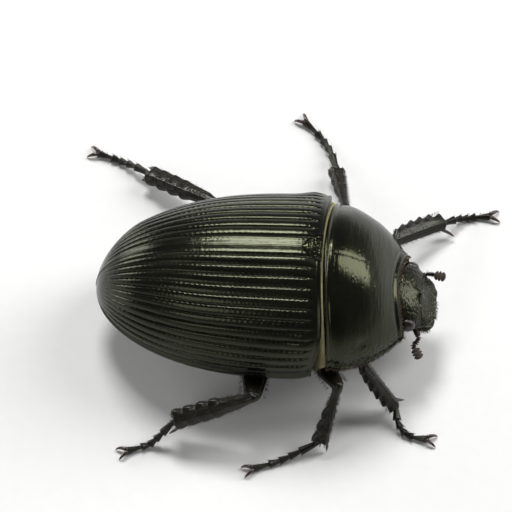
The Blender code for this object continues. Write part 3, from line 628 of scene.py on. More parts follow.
def hull_rows(inset, ahead, behind):
    """Share of the way to the base, and x, of each row of the dome, even along its back line."""
    share = 1 - np.arange(ahead) / ahead
    x = WIDEST_X - (WIDEST_X - TAIL_X - inset) * np.sin(np.radians(np.linspace(0.0, 89.0, 400)))
    travel = travel_along(grid(x, *hull_size(x, inset)))
    back = np.interp(np.linspace(0.0, travel[-1], behind + 1), travel, x)
    x = np.append(WIDEST_X + (BASE_X - WIDEST_X) * share, back)
    return np.append(share, 0 * back)[:, None], x[:, None]


def scutellum_edge(x):
    """Half width of the scutellum at x, 0 behind its tip."""
    keys = BASE_X + np.array((-SCUTELLUM_LENGTH, -0.95, -0.62, -0.28, 0.6))
    return np.where(x > keys[0], SCUTELLUM_HALF_WIDTH * curve(keys, (0.08, 0.42, 0.72, 0.96, 1.0), x), 0.0)


def case_start(x, inset, gap):
    """The lean at which a wing case starts: the middle line, or beside the scutellum."""
    edge = np.where(x > BASE_X - SCUTELLUM_LENGTH - 0.06, scutellum_edge(x) + gap, 0.0)
    return np.arcsin(np.clip(edge / hull_size(x, inset)[0], 0.0, 1.0))


def case_relief(x, lean, share):
    """Height and hollowness of a wing case's sculpture: furrows, their pits, calluses and beads."""
    from_tail = x - TAIL_X
    place = lean / (pi / 2) * STRIAE + 0.05 * np.sin(x * 0.8 + lean * 3.0) * np.sin(2 * lean)
    line = np.floor(place + 0.5)
    near = np.abs(place - line)
    fade = (ease(0.25, 1.5, from_tail) * ease(0.9, 0.45, share)
            * ease(0.2, 0.7, place) * ease(13.8, 13.5, place))
    fine = np.clip(hull_size(x)[0] / 4.0, 0.35, 1.0)
    pit = 0.5 + 0.5 * np.cos(2 * pi * (x / STRIA_PITS + line * 0.37))
    groove = bell(near, STRIA_WIDTH) * (0.6 + 0.4 * pit) * fade
    crown = STRIA_CROWN * 4 * near * (1 - near) * fade * fine
    wrinkles = 0.006 * np.sin(x * 21 + 4 * np.sin(place * 5)) * np.sin(place * 11 + x * 3) * fade
    callus = (0.16 * bell(x - 2.6, 0.75) * bell(lean - 1.08, 0.15)
              + 0.10 * bell(x + 8.4, 1.0) * bell(lean - 0.72, 0.3))
    bead = (0.055 * bell(place - 13.75, 0.22) - 0.06 * bell(place - 13.3, 0.16)) * ease(0.0, 0.8, from_tail)
    suture = 0.035 * bell(place, 0.35) - 0.035 * bell(place - 0.55, 0.12) * ease(0.3, 1.5, from_tail)
    base = 0.05 * bell(share - 0.97, 0.04) - 0.03 * bell(share - 0.89, 0.03)
    height = crown + wrinkles + callus + bead + suture + base - STRIA_DEPTH * groove * fine
    return height, np.clip(groove, 0.0, 1.0)


def wing_case(side):
    """A furrowed plate with a rolled lip along its side margin."""
    share, x = hull_rows(0.0, 44, 250)
    within = np.array((0.0, 0.05, 0.10, 0.16, 0.24, 0.36, 0.5, 0.64, 0.76, 0.84, 0.90, 0.95))
    lean = np.append(np.arange(STRIAE)[:, None] + within, STRIAE) / STRIAE * pi / 2
    start, straight = case_start(x, 0.0, SEAM), 0.36  # the rows bend round the scutellum up to this lean
    lean = np.where(lean < straight, start + lean * (straight - start) / straight, lean)
    height, hollow = case_relief(x, lean, share)
    outer = carve(hull_point(x, share, lean), height, inside=(-3.0, 0.0, 3.0))
    part = np.array((0.12, 0.3, 0.55, 0.8, 1.0))[:, None]
    low = hull_point(x, share, pi / 2, SHELL)
    lip = outer[:, -1:] * (1 - part) + low * part - 0.09 * np.sin(pi * part) * UP
    outer = np.concatenate([outer, lip], axis=1)
    hollow = np.concatenate([hollow, np.zeros(lip.shape[:2])], axis=1)
    share, x = hull_rows(SHELL, 5, 24)
    lean = np.maximum(np.linspace(0.0, pi / 2, 15), case_start(x, SHELL, 2 * SEAM))
    inner = hull_point(x, share, lean, SHELL)
    outer, inner = (sided(face + (0.0, SEAM * 0.7, 0.0), side) for face in (outer, inner))
    piece(f"wing_case_{side}", [plate(outer, inner, hollow)], CASE_SHELL, [f"elytron_{side}"])


def scutellum():
    """The small shield between the wing cases' bases, slightly domed and pricked."""
    x = np.linspace(BASE_X - SCUTELLUM_LENGTH + 0.01, BASE_X + 0.04, 60)[:, None]
    across = np.linspace(-1.0, 1.0, 61)
    y = scutellum_edge(x) * across
    width, crown = hull_size(x)
    dots = pits(x, y, 0.22, 0.045, 5, 0.6)
    z = margin_z(x) + crown * np.sqrt(1 - (y / width) ** 2) + 0.05 * (1 - across**2) - 0.03
    outer = grid(x, y, z - 0.014 * dots + 0.02 * bell(np.abs(across) - 0.93, 0.05))
    inner = outer[::6, ::6] - UP * 0.5
    piece("scutellum_shield", [plate(outer, inner, dots * 0.7)], SHIELD_SHELL, ["scutellum"])


# ---- Neck shield ----

def pronotum_rim(share):
    return PRONOTUM_RIM_Z[0] + (PRONOTUM_RIM_Z[1] - PRONOTUM_RIM_Z[0]) * share


def pronotum_point(share, lean):
    back = PRONOTUM_BACK_X + BASE_BOW * np.sin(lean) ** 2
    front = PRONOTUM_FRONT_X + 0.5 * np.sin(lean) ** 2
    width, crown = (curve(*zip(*pairs), share) for pairs in (PRONOTUM_MARGIN, PRONOTUM_CROWN))
    return grid(back + (front - back) * share, width * np.sin(lean),
                pronotum_rim(share) + crown * np.cos(lean))


def hollow_under(share):
    return 0.12 + (UNDERCUT - 0.12) * np.sqrt(np.clip(4 * share * (1 - share), 0.0, 1.0))


def shield_relief(share, lean):
    """Height and hollowness of the neck shield's sculpture: a bead all round, pits and side dimples."""
    run, arc, side = share * 4.9, lean * 5.3, np.abs(lean) / (pi / 2)
    fine = pits(run, arc, 0.30, 0.040, 3, 0.5)
    coarse = pits(run, arc, 0.24, 0.075, 4, 0.75) * ease(0.66, 0.86, side)
    fovea = bell(run - 2.4, 0.34) * bell(side - 0.74, 0.045)
    middle = bell(lean, 0.012) * ease(0.75, 0.35, share) * 0.8
    ends = (1.3 * bell(share - 0.026, 0.020) - 0.8 * bell(share - 0.070, 0.016)
            + bell(share - 0.98, 0.014) - 0.8 * bell(share - 0.95, 0.012))
    flanks = bell(side - 0.975, 0.018) - 0.8 * bell(side - 0.93, 0.018)
    height = (0.06 * (ends + flanks) - 0.018 * fine - 0.04 * coarse - 0.09 * fovea - 0.02 * middle
              - 0.05 * bell(run - 0.9, 0.5) * bell(side - 0.55, 0.1))
    return height, np.clip(0.5 * fine + coarse + 0.6 * fovea, 0, 1)


def neck_shield():
    """The pronotum: a polished dome over a hollow, with a lip in front that takes the head."""
    share, lean = dense_ends(0.0, 1.0, 0.05, 120)[:, None], dense_ends(-1.0, 1.0, 0.07, 170) * pi / 2
    height, hollow = shield_relief(share, lean)
    top = carve(pronotum_point(share, lean), height, inside=(5.5, 0.0, 3.0))
    part = np.linspace(0.99, -0.99, 60)
    rim, crest = top[:, -1:], top[:, top.shape[1] // 2][:, None]
    inward = np.clip((1 - np.abs(part)) / 0.2, 0, 1)
    rise = -0.10 * (1 - inward) + hollow_under(share) * ease(0.0, 1.0, inward)
    under = grid(rim[..., 0] - (rim[..., 0] - crest[..., 0]) * (1 - np.abs(part)) ** 1.5,
                 rim[..., 1] * part, rim[..., 2] + rise)
    rings = np.concatenate([top, under], axis=1)
    centre = rings[-1].mean(axis=0)
    inner = (rings[-1] - centre) * (1.0, 0.93, 0.90) + centre
    lip = [(rings[-1] + inner) / 2 + (0.05, 0.0, 0.0),
           *(inner - (back, 0.0, 0.0) for back in (0.0, 0.5, 1.3))]
    depth = np.zeros((len(rings) + len(lip), rings.shape[1]))
    depth[:len(top), :top.shape[1]] = hollow
    rings = np.concatenate([rings, lip])
    piece("neck_shield", [skin(rings, depth)], SHIELD_SHELL, ["pronotum"])
    return top, lean


# ---- Head ----

HEAD_TURN = np.array(Matrix.Rotation(radians(HEAD_PITCH), 3, "Y")).T


def head_place(points, side="left"):
    """Points of the head's own frame, or their mirror image on the right side, in the beetle's frame."""
    return HEAD_AT + sided(points, side) @ HEAD_TURN


def head_surface(rows=150, around=160):
    """Rings of the head capsule, with its edge, sutures, tubercle and pits, in the head's own frame."""
    keys = np.array(HEAD_STATIONS)
    x = np.append(np.linspace(-0.75, 2.5, rows - 26), 2.5 + 0.26 * np.sin(np.linspace(0, pi / 2, 27))[1:])
    half, top, bottom = curve(keys[:, 0], keys[:, 1:], x).T[..., None]
    x = x[:, None]
    side, rise = np.cos(circle(around)), np.sin(circle(around))
    y = half * bent(side, 0.8) * np.sqrt(np.clip((2.84 - x) / 0.34, 0.05, 1.0)) ** 0.35
    z = np.where(rise > 0, top, bottom) * np.abs(rise) ** 0.9
    upper = ease(0.0, 0.25, rise)
    brow = bell(np.abs(np.degrees(np.arcsin(rise))) - 7.0, 6.0) * ease(1.0, 1.5, x)
    front = bell(x - 2.70, 0.07) * upper
    suture = bell(x - 1.02 - 0.42 * np.abs(y), 0.045) * upper * ease(1.9, 1.4, np.abs(y))
    cheek = bell(np.abs(y) - 1.55 + 0.1 * x, 0.04) * upper * ease(0.1, 0.5, x) * ease(1.5, 1.2, x)
    knob = bell(np.hypot(x - TUBERCLE_X, y), 0.27) * upper
    coarse = pits(x, y, 0.17, 0.062, 11, 0.85) * upper
    under = pits(x + 7, y, 0.22, 0.06, 12, 0.6) * (1 - upper)
    dip = bell(x - 2.2, 0.35) * upper * ease(1.5, 0.9, np.abs(y))
    height = (0.07 * brow + 0.06 * front - 0.035 * suture - 0.03 * cheek + 0.25 * knob
              - 0.030 * coarse * (1 - knob) - 0.02 * under - 0.05 * dip)
    return carve(grid(x, y, z), height), np.clip(coarse * 0.8 + suture * 0.6 + under * 0.5, 0, 1)


def canthus(side):
    """The cheek plate that runs out over the eye and the feeler's root."""
    along, turn = np.linspace(0.0, 1.0, 40)[:, None], circle(28)
    x = 0.55 + 1.35 * along
    outer = 2.24 + 0.30 * np.sin(pi * along**0.8) - 0.42 * along
    inner = 1.70 - 0.15 * along
    y = (outer + inner) / 2 + (outer - inner) / 2 * bent(np.cos(turn), 0.8)
    thick = 0.085 * np.sqrt(np.sin(pi * (0.04 + 0.92 * along)))
    z = 0.42 - 0.34 * along - 0.16 * (y - 1.7) + thick * np.sin(turn)
    return skin(head_place(grid(x, y, z), side), 0.3 * pits(x, y, 0.15, 0.05, 13))


def head():
    """The head capsule with its cheek plates, and the eyes."""
    rings, hollow = head_surface()
    parts = [skin(head_place(rings), hollow)] + [canthus(side) for side in SIDES]
    piece("head_capsule", parts, HEAD_SHELL, ["head"])
    for side in SIDES:
        globe = ellipsoid(sided(EYE_AT, side), EYE_RADII, 56, 40)
        piece(f"compound_eye_{side}", [skin(head_place(globe))], EYE_FACETS, [f"eye_{side}"])


def upper_lip():
    """A flat lip, notched in the middle of its front edge."""
    ahead, turn = np.linspace(0.0, 1.0, 30)[:, None], circle(40)
    x = 2.30 + 0.78 * ahead - 0.09 * bell(np.cos(turn), 0.25) * ease(0.5, 1.0, ahead)
    wide = 0.60 + 0.22 * np.sin(pi * 0.75 * ahead) - 0.14 * ease(0.8, 1.0, ahead)
    y = wide * bent(np.cos(turn), 0.7)
    z = -0.72 + 0.14 * ahead + 0.10 * np.clip(1.02 - ahead, 0.02, 1) ** 0.3 * np.sin(turn)
    lip = skin(head_place(grid(x, y, z)), 0.4 * pits(x, y, 0.13, 0.04, 21))
    piece("upper_lip", [lip], HEAD_SHELL, ["labrum"])


def jaw(side):
    """A sickle-shaped jaw with one inner tooth."""
    path = ((1.75, 0.98), (2.15, 1.14), (2.50, 1.15), (2.82, 1.02), (3.04, 0.78), (3.18, 0.46))
    sizes = ((0.34, 0.24), (0.36, 0.25), (0.32, 0.22), (0.25, 0.17), (0.16, 0.12), (0.05, 0.05))
    blade = head_place([(x, y, -1.04) for x, y in path], side)
    tooth = head_place(((2.62, 0.86, -1.02), (2.72, 0.62, -1.02)), side)
    parts = [skin(rod(blade, sizes, 20, 40, blunt=(0.0, 0.06))),
             skin(rod(tooth, (0.12, 0.03), 12, 8, blunt=(0.0, 0.03)))]
    piece(f"jaw_{side}", parts, HEAD_SHELL, [f"mandible_{side}"])


def palp(side, path, radius):
    """The joints of a palp: each swells towards its end, and the last is blunt."""
    points = head_place(path, side)
    shapes = [(0.62, 0.95, 1.0, 0.9)] * (len(points) - 2) + [(0.6, 1.0, 0.95, 0.55)]
    return [skin(rod([start + (end - start) * share for share in (0.0, 0.4, 0.75, 1.0)],
                     radius * np.array(shape), 16, 14, blunt=(0.08, 0.10)))
            for start, end, shape in zip(points, points[1:], shapes)]


def mouth():
    """Upper lip, jaws, the long palps beside them, and the chin with its short palps."""
    upper_lip()
    for side in SIDES:
        jaw(side)
        path = ((1.15, 0.62, -1.60), (1.50, 0.72, -1.74), (1.80, 0.86, -1.78), (2.16, 0.94, -1.79),
                (2.70, 0.90, -1.84))
        piece(f"maxillary_palp_{side}", palp(side, path, 0.20), FEELER_SHELL, [f"palp_{side}"])
    pad = ellipsoid((1.55, 0.0, -1.16), (0.66, 0.60, 0.22))
    parts = [skin(head_place(pad), 0.4 * pits(pad[..., 0], pad[..., 1], 0.16, 0.05, 22))]
    for side in SIDES:
        parts += palp(side, ((1.85, 0.26, -1.30), (2.08, 0.34, -1.36), (2.30, 0.38, -1.38)), 0.10)
    piece("chin", parts, HEAD_SHELL)


def feeler(side):
    """An eleven-jointed feeler: a long scape, a chain of seven beads, and a club of three felted leaves."""
    root, bends = head_place(FEELER_ROOT, side), sided(FEELER_POSE[side], side)
    line = [root, (root + bends[0]) / 2, bends[0]]
    parts = [skin(rod(line, (0.13, 0.17, 0.20), 18, 20, blunt=(0.08, 0.12)))]
    axis = unit(sided(CLUB_AXIS[side], side))
    start = bends[-1] + axis * 0.22
    chain = np.array([*bends, start])
    travel = travel_along(chain)
    for k in range(7):
        a, b = (curve(travel, chain, travel[-1] * (k + part) / 7) for part in (-0.1, 1.0))
        radii = (0.15 + 0.05 * k / 7) * np.array((0.8, 1.0, 0.9))
        parts.append(skin(rod([a, (a + b) / 2, b], radii, 16, 10, blunt=(0.05, 0.05))))
    piece(f"feeler_stalk_{side}", parts, FEELER_SHELL, [f"antenna_{side}"])
    across = unit(np.cross(axis, UP))
    parts = []
    for cup, at, thick, size in ((0.06, 0.15, 0.135, 0.92), (0.0, 0.38, 0.12, 1.0),
                                 (-0.06, 0.62, 0.15, 0.94)):
        leaf = ellipsoid((0, 0, 0), (thick, 0.34 * size, 0.29 * size))
        leaf[..., 0] += cup * (leaf[..., 1] / 0.34) ** 2 + at
        parts.append(skin(start + leaf @ np.array((axis, across, np.cross(axis, across)))))
    parts.append(skin(rod([start - axis * 0.05, start + axis * 0.62], (0.10, 0.10), 12, 6)))
    piece(f"feeler_club_{side}", parts, CLUB_FELT, [f"antenna_club_{side}"])


# ---- Legs ----

def aim(yaw, pitch, side):
    flat = cos(radians(pitch))
    return sided((flat * cos(radians(yaw)), flat * sin(radians(yaw)), sin(radians(pitch))), side)


def leg_joints(pair, side):
    """The hip, knee and ankle of a leg and the joints of its tarsus."""
    sizes = LEG_SIZES[pair]
    femur_yaw, femur_pitch, tibia_yaw, tibia_pitch, _, first_yaw, last_yaw = LEG_POSE[pair, side]
    hip = sided(sizes["hip_at"], side)
    knee = hip + aim(femur_yaw, femur_pitch, side) * sizes["femur"][0]
    ankle = knee + aim(tibia_yaw, tibia_pitch, side) * sizes["tibia"][0]
    lengths = sizes["tarsus"]
    slope = -min(np.degrees(np.arcsin(min((ankle[2] - FOOT_Z) / sum(lengths[:3]), 1.0))), 80.0)
    joints = [ankle]
    for k, length in enumerate(lengths):
        yaw = first_yaw + (last_yaw - first_yaw) * k / (len(lengths) - 1)
        joints.append(joints[-1] + aim(yaw, slope if k < 3 else 0.0, side) * length)
    return hip, knee, ankle, joints


def limb(start, end, roll, side):
    """Puts points where a leg piece lies: +X runs along it, +Y is level, on its hind side, and +Z is up."""
    ahead, sign = unit(end - start), SIDES[side]
    level = unit(np.cross(UP, ahead)) * sign
    turn = np.array(Matrix.Rotation(radians(roll) * sign, 3, Vector(ahead)))
    axes = np.array((ahead, turn @ level, turn @ np.cross(ahead, level) * sign))
    return lambda points: start + np.asarray(points) @ axes


def knee_ball(at):
    """The round end of a piece behind its joint at 0, from almost 0 at the tip to 1."""
    return np.sqrt(np.clip(1 - np.clip(-at / KNOB, 0, 1) ** 2, 0.01, 1.0))


def leg_piece(name, rings, hollow, bone, pair, side):
    piece(f"{name}_{pair}_{side}", [skin(rings, hollow)], LEG_SHELL, [f"{bone}_{pair}_{side}"])


def coxa(pair, side):
    """The hip: a pitted ovoid with a groove round its lower half."""
    sizes = LEG_SIZES[pair]
    rings = ellipsoid(sided(sizes["coxa_at"], side), sizes["coxa_radii"], 56, 40)
    x, y, z = np.moveaxis(rings, -1, 0)
    dots = pits(x * 1.2, y + z * 0.7, 0.26, 0.06, 31, 0.7)
    rings = carve(rings, -0.03 * dots - 0.03 * bell(z - sizes["coxa_at"][2] + 0.25, 0.05))
    leg_piece("hip", rings, dots, "coxa", pair, side)


def femur(pair, side):
    """The thigh: a pitted spindle with a ridge along its front edge, a trough each side, and end seams."""
    length, wide, tall = LEG_SIZES[pair]["femur"]
    hip, knee, _, _ = leg_joints(pair, side)
    ball, tip = KNOB * 0.95, length + 0.16
    keys = [-ball, -ball * 0.7, 0.0, 0.30]
    sizes = [(0.05, 0.05), (ball * 0.72, ball * 0.72), (ball, ball), (ball * 0.86, ball * 0.86)]
    for share, size in ((0.13, 0.74), (0.24, 0.92), (0.40, 1.0), (0.60, 0.98), (0.78, 0.82), (0.92, 0.66)):
        keys.append(length * share)
        sizes.append((wide * size, tall * (size * 0.6 + 0.4)))
    keys += [length * 0.985, tip]
    sizes += [(max(wide * 0.62, 0.36), 0.36), (0.20, 0.16)]
    x = np.unique(np.append(np.linspace(-ball, tip, 110), np.linspace(-ball, 0.3, 16)))
    size = curve(keys, sizes, x)
    x, turn = x[:, None], np.degrees(circle(64))
    rings = grid(x, size[:, :1] * np.cos(circle(64)), size[:, 1:] * np.sin(circle(64)))
    body = ease(0.35, 0.9, x) * ease(length, length - 0.4, x)
    dots = pits(x, turn * 0.02 * wide, 0.27, 0.055, 33, 0.75) * body
    edge = np.abs(turn - 180.0)
    trough = bell(edge - 24.0, 9.0) * ease(0.45 * length, 0.9 * length, x)
    seam = bell(x - 0.42, 0.05) + 0.7 * bell(x - length + 0.25, 0.05)
    rings = carve(rings, 0.05 * bell(edge, 9.0) * body - 0.05 * trough - 0.035 * dots - 0.04 * seam)
    hollow = np.clip(dots + 0.6 * seam + 0.4 * trough, 0, 1)
    leg_piece("thigh", limb(hip, knee, 0.0, side)(rings), hollow, "femur", pair, side)


def saw(at, teeth, skew):
    """A row of teeth from 0 to 1 along a run: each rises slowly up to skew and drops at once."""
    part = np.modf(np.clip(at, 0, 0.9999) * teeth)[0]
    return np.where(part < skew, ease(0.0, skew, part) ** 1.3, 1 - ease(skew, 1.0, part))


def fore_blade(length, wide, tall):
    """The digging shin about +X: a blade toothed down its outer edge, thick along its middle."""
    x, turn, root = np.linspace(-KNOB, length + 0.10, 240)[:, None], circle(72), 0.27
    side, rise = np.cos(turn), np.sin(turn)
    run = np.clip((x - 0.10 * length) / (0.92 * length), 0.0, 1.0)
    neck, sharp, ball = ease(0.1, 0.9, x), ease(0.1, 0.8, x), knee_ball(x)
    end = np.sqrt(np.clip((length + 0.12 - x) / 0.22, 0.02, 1.0))
    outer = (wide * curve(*zip(*BLADE_EDGE), run) * ease(0.0, 0.8, x) + root * (1 - neck)) * ball
    outer = outer * np.where(x > length - 0.1, 0.25 + 0.75 * end, 1.0)
    inner = (root * (1 - neck) + wide * (0.46 + 0.08 * run) * neck) * end * ball
    teeth = saw(run**0.9, FORE_TEETH, 0.75) * ease(0.0, 0.15, run) * (0.11 + 0.13 * run)
    teeth = (teeth - 0.05) * ball * end * ease(0.45, 1.0, side)
    y = (outer - inner) / 2 + (outer + inner) / 2 * side + teeth
    thick = (tall * 0.95 * neck + 0.26 * (1 - neck)) * ball * (0.35 + 0.65 * end)
    z = thick * (bent(rise, 1.25) * sharp + rise * (1 - sharp))
    dots = pits(x, y, 0.22, 0.05, 41, 0.8) * sharp
    ridge = bell(y - 0.05 * wide, 0.10) * sharp * np.abs(rise)
    return carve(grid(x, y, z), 0.05 * ridge - 0.025 * dots), dots


def ridged_shin(length, wide, tall, combs, swell):
    """A mid or hind shin about +X: widening to its end, with slanting combs, highest on its hind side."""
    x, turn = np.linspace(-KNOB, length, 190)[:, None], circle(64)
    side, rise = np.cos(turn), np.sin(turn)
    share, neck = np.clip(x / length, 0.0, 1.0), ease(0.15, 0.8, x)
    grow, ball = curve(*zip(*swell), share), knee_ball(x) * KNOB * 0.92 * (1 - neck)
    end = np.where(x > length - 0.08, np.sqrt(np.clip((length + 0.02 - x) / 0.10, 0.05, 1)), 1.0)
    wide, tall = ((ball + size * neck) * end for size in (wide * grow, tall * (0.5 + 0.5 * grow)))
    rings = grid(x, wide * side, tall * rise)
    run = (share - 0.045 * rise - 0.34) / 0.66
    face = ease(0.1, 0.75, side) + 0.45 * ease(0.3, 0.9, -side)
    row = saw(run, combs, 0.86) * ease(0.0, 0.06, run) * face
    dots = pits(x, turn * 0.5, 0.21, 0.05, 43, 0.8) * neck
    return carve(rings, 0.15 * row + 0.04 * bell(rise - 0.75, 0.10) * neck - 0.025 * dots), dots


def tibia(pair, side):
    """The shin, with its spurs."""
    length, wide, tall = LEG_SIZES[pair]["tibia"]
    _, knee, ankle, _ = leg_joints(pair, side)
    put = limb(knee, ankle, LEG_POSE[pair, side][4], side)
    if pair == "fore":
        rings, hollow = fore_blade(length, wide, tall)
        parts = [spike(put(((length - 0.35, -wide * 0.42, 0.0), (length + 0.05, -wide * 0.85, -0.05),
                            (length + 0.42, -wide * 1.35, -0.10))))]
    else:
        rings, hollow = ridged_shin(length, wide, tall, SHIN_COMBS[pair], SHIN_SWELL[pair])
        parts = hind_spurs(put, length, wide, tall)
    leg_piece("shin", put(rings), hollow, "tibia", pair, side)
    piece(f"spurs_{pair}_{side}", parts, CLAW_HORN)


def spike(path, radii=(0.12, 0.102, 0.03), around=14, rows=18, blunt=(0.0, 0.04), power=1.0):
    """A closed rod whose hollowness grows from 0 at its root to 1 at its tip."""
    rings = rod(path, radii, around, rows, blunt)
    return skin(rings, np.linspace(0.0, 1.0, len(rings))[:, None] ** power)


def hind_spurs(put, length, wide, tall):
    """The two spurs of a mid or hind shin, and the crown of short spines round its end."""
    parts = [spike(put(((length * 0.955, -wide * 0.66, -0.05), (length + 0.2, -wide * 1.02, -0.10),
                        (length + 0.62, -wide * 1.15, -0.20)))),
             spike(put(((length * 0.94, wide * 0.62, 0.0), (length + 0.05, wide * 1.05, 0.0),
                        (length + 0.20, wide * 1.20, 0.0))))]
    for turn in 2 * pi * (np.arange(9) + 0.5) / 9:
        root = np.array((length - 0.04, wide * 0.88 * cos(turn), tall * 0.88 * sin(turn)))
        tip = root + (0.26, 0.07 * cos(turn), 0.07 * sin(turn))
        parts.append(skin(rod(put((root, tip)), (0.045, 0.012), 8, 6), 0.2))
    return parts


def tarsus(pair, side):
    """The five joints of a foot, each flared at its end."""
    *_, joints = leg_joints(pair, side)
    parts = []
    for start, end, (base, tip) in zip(joints, joints[1:], TARSUS_RADII):
        ahead = unit(end - start)
        line = [start - ahead * 0.07, start + (end - start) * 0.3, start + (end - start) * 0.72,
                end - ahead * 0.03, end + ahead * 0.03]
        radii = np.array((base * 0.75, base * 1.05, tip * 0.86, tip, tip * 0.72))
        rings = rod(line, grid(radii, radii * 0.94), 28, 30, blunt=(0.06, 0.04))
        parts.append(skin(carve(rings, 0.012 * np.cos(circle(28) * 7) * np.ones((len(rings), 1)))))
    piece(f"foot_{pair}_{side}", parts, LEG_SHELL, [f"tarsus_{pair}_{side}"])


def claws(pair, side):
    """The two hooks at the end of a foot."""
    yaw, tip = LEG_POSE[pair, side][6], leg_joints(pair, side)[3][-1]
    path = ((-0.12, 0.06, 0.0), (0.12, 0.09, 0.10), (0.38, 0.12, 0.08), (0.60, 0.12, -0.04),
            (0.72, 0.09, -0.18))
    parts = []
    for turn in (-CLAW_SPREAD, CLAW_SPREAD):
        axes = np.array((aim(yaw + turn, 0, side), aim(yaw + 90 * np.sign(turn), 0, side), UP))
        parts.append(spike(tip + path @ axes, (0.12, 0.13, 0.105, 0.070, 0.022), 14, 26, (0.05, 0.02), 1.5))
    piece(f"claws_{pair}_{side}", parts, CLAW_HORN)


# ---- Underside ----

def trunk_rings(x, belly):
    """Sections of the trunk: the dome made smaller above, and the belly's curve below."""
    x, belly = x[:, None], belly[:, None]
    width, crown = hull_size(x, INNER)
    level = margin_z(x) - 0.05
    over, below = np.linspace(0.0, pi, TRUNK_TOP), pi * np.arange(1, 110) / 110
    low = level - np.maximum(level - belly, 0.12) * np.sin(below) ** BELLY_POWER
    return np.concatenate([grid(x, width * np.cos(over), level + crown * np.sin(over)),
                           grid(x, -width * np.cos(below), low)], axis=1)


def under_pits(rings, seed):
    return pits(rings[..., 0], rings[..., 1] * 1.05, 0.30, 0.075, seed, 0.85)


def belly_z(x):
    share = np.clip((THORAX_BACK_X - x) / (THORAX_BACK_X - TAIL_X), 0.0, None)
    return BELLY_Z + 0.75 * share**2.2


def abdomen():
    """Six sternites, each lapping a little over the next, with pits."""
    front, back = THORAX_BACK_X - 0.06, TAIL_X + INNER + 0.12
    ends = front + (back - front) * (np.arange(STERNITES + 1) / STERNITES) ** 0.86
    share = np.concatenate([[0.0, 0.015, 0.04], np.linspace(0.08, 0.93, 20), [0.96, 0.985]])
    x = (ends[:-1, None] + np.diff(ends)[:, None] * share).ravel()
    lap = STERNITE_STEP * (ease(0.06, 0.0, share) + (1 - share) ** 2 * 0.8) - 0.04 * bell(share - 0.95, 0.05)
    rings = trunk_rings(x, belly_z(x) + np.tile(lap, STERNITES))
    dots = under_pits(rings, 51)
    piece("abdomen_sternites", [skin(carve(rings, -0.045 * dots), dots)], BELLY_SHELL, ["abdomen"])
    return rings


def collar():
    """The creased skin of the waist, which runs in under the neck shield."""
    x, turn = np.linspace(THORAX_FRONT_X - 0.3, PRONOTUM_BACK_X + 0.55, 24)[:, None], circle(96)
    width, crown = hull_size(x, NECK)
    rise = margin_z(x) + crown * np.maximum(np.sin(turn), 0.0)
    rings = grid(x, width * np.cos(turn), np.maximum(rise, 4.66) - 0.1 * (np.sin(turn) < 0))
    creases = 0.5 + 0.5 * np.cos(x * 26 + 1.5 * np.sin(3 * turn))
    return skin(carve(rings, 0.03 * creases), 1 - creases)


def thorax():
    """The chest between the mid and hind legs, with its seams and pits, and the collar before it."""
    keys = (THORAX_BACK_X, -0.1, 1.2, 2.4, 3.05, THORAX_FRONT_X)
    x = np.linspace(THORAX_BACK_X, THORAX_FRONT_X, 90)
    rings = trunk_rings(x, BELLY_Z + curve(keys, (0.0, -0.1, -0.12, -0.05, 0.25, 0.9), x))
    dots = under_pits(rings, 52)
    y = rings[..., 1] / HULL_HALF_WIDTH
    keel = bell(y, 0.008) + bell(np.abs(y) - 0.62 + 0.02 * rings[..., 0], 0.008)
    seam = bell(rings[..., 0] - 2.15 - 1.2 * y**2, 0.05)
    rough = carve(rings, -0.045 * dots - 0.05 * keel - 0.06 * seam)
    parts = [skin(rough, np.clip(dots + keel + seam, 0, 1)), collar()]
    piece("thorax_plates", parts, BELLY_SHELL, ["thorax"])
    return rings


def prosternum():
    """The plate under the neck shield that the fore legs grow from."""
    stations = np.array(((3.36, 2.5, 3.3), (4.2, 2.8, 2.95), (5.2, 3.2, 2.6), (6.6, 3.1, 2.6),
                         (7.5, 2.4, 3.05)))
    x = np.linspace(stations[0, 0], stations[-1, 0], 80)
    wide, low = curve(stations[:, 0], stations[:, 1:], x).T[..., None]
    x = x[:, None]
    share = np.clip((x - PRONOTUM_BACK_X) / (PRONOTUM_FRONT_X - PRONOTUM_BACK_X), 0, 1)
    top = pronotum_rim(share) + hollow_under(share) - 0.28
    over, below = np.linspace(1, -1, 24), pi * np.arange(1, 80) / 80
    keel = grid(x, -wide * np.cos(below), top - 0.1 - (top - low - 0.1) * np.sin(below) ** 0.8)
    rings = np.concatenate([grid(x, wide * over, top), keel], axis=1)
    dots = under_pits(rings, 53)
    piece("prosternum_plate", [skin(carve(rings, -0.04 * dots), dots)], BELLY_SHELL, ["prosternum"])
    return rings


# ---- Coat ----

def scatter(rings, rows, columns, count):
    """Random points of a surface between shares of its rows and columns, with normals and their shares."""
    a, b = RNG.uniform(*rows, count), RNG.uniform(*columns, count)
    i = np.clip((a * (rings.shape[0] - 1)).astype(int), 1, rings.shape[0] - 2)
    j = (b * (rings.shape[1] - 1)).astype(int)
    return rings[i, j], outward(rings)[i, j], (a, b)


def along_line(line, shares):
    """Points at shares of the way along a line of points."""
    at = shares * (len(line) - 1)
    return grid(*(np.interp(at, np.arange(len(line)), axis) for axis in line.T))


def body_coat(belly, trunk, neck):
    """The hair of the underside: long and rusty, lying back along the body."""
    coat = Coat()
    for tile, (rings, from_column, count, length) in enumerate((
            (belly, TRUNK_TOP / belly.shape[1], 3600, 0.55), (trunk, TRUNK_TOP / trunk.shape[1], 2600, 0.75),
            (neck, 0.24, 1800, 0.75))):
        points, normals, spots = scatter(rings, (0.02, 0.98), (from_column, 0.999), count)
        coat.add(points, normals * 0.55 + (-0.8, 0, -0.1), length, 0.013, spots, tile,
                 bend=(-0.25, 0, -0.15))
    coat.make("coat_underside", RUST_HAIR, "belly")


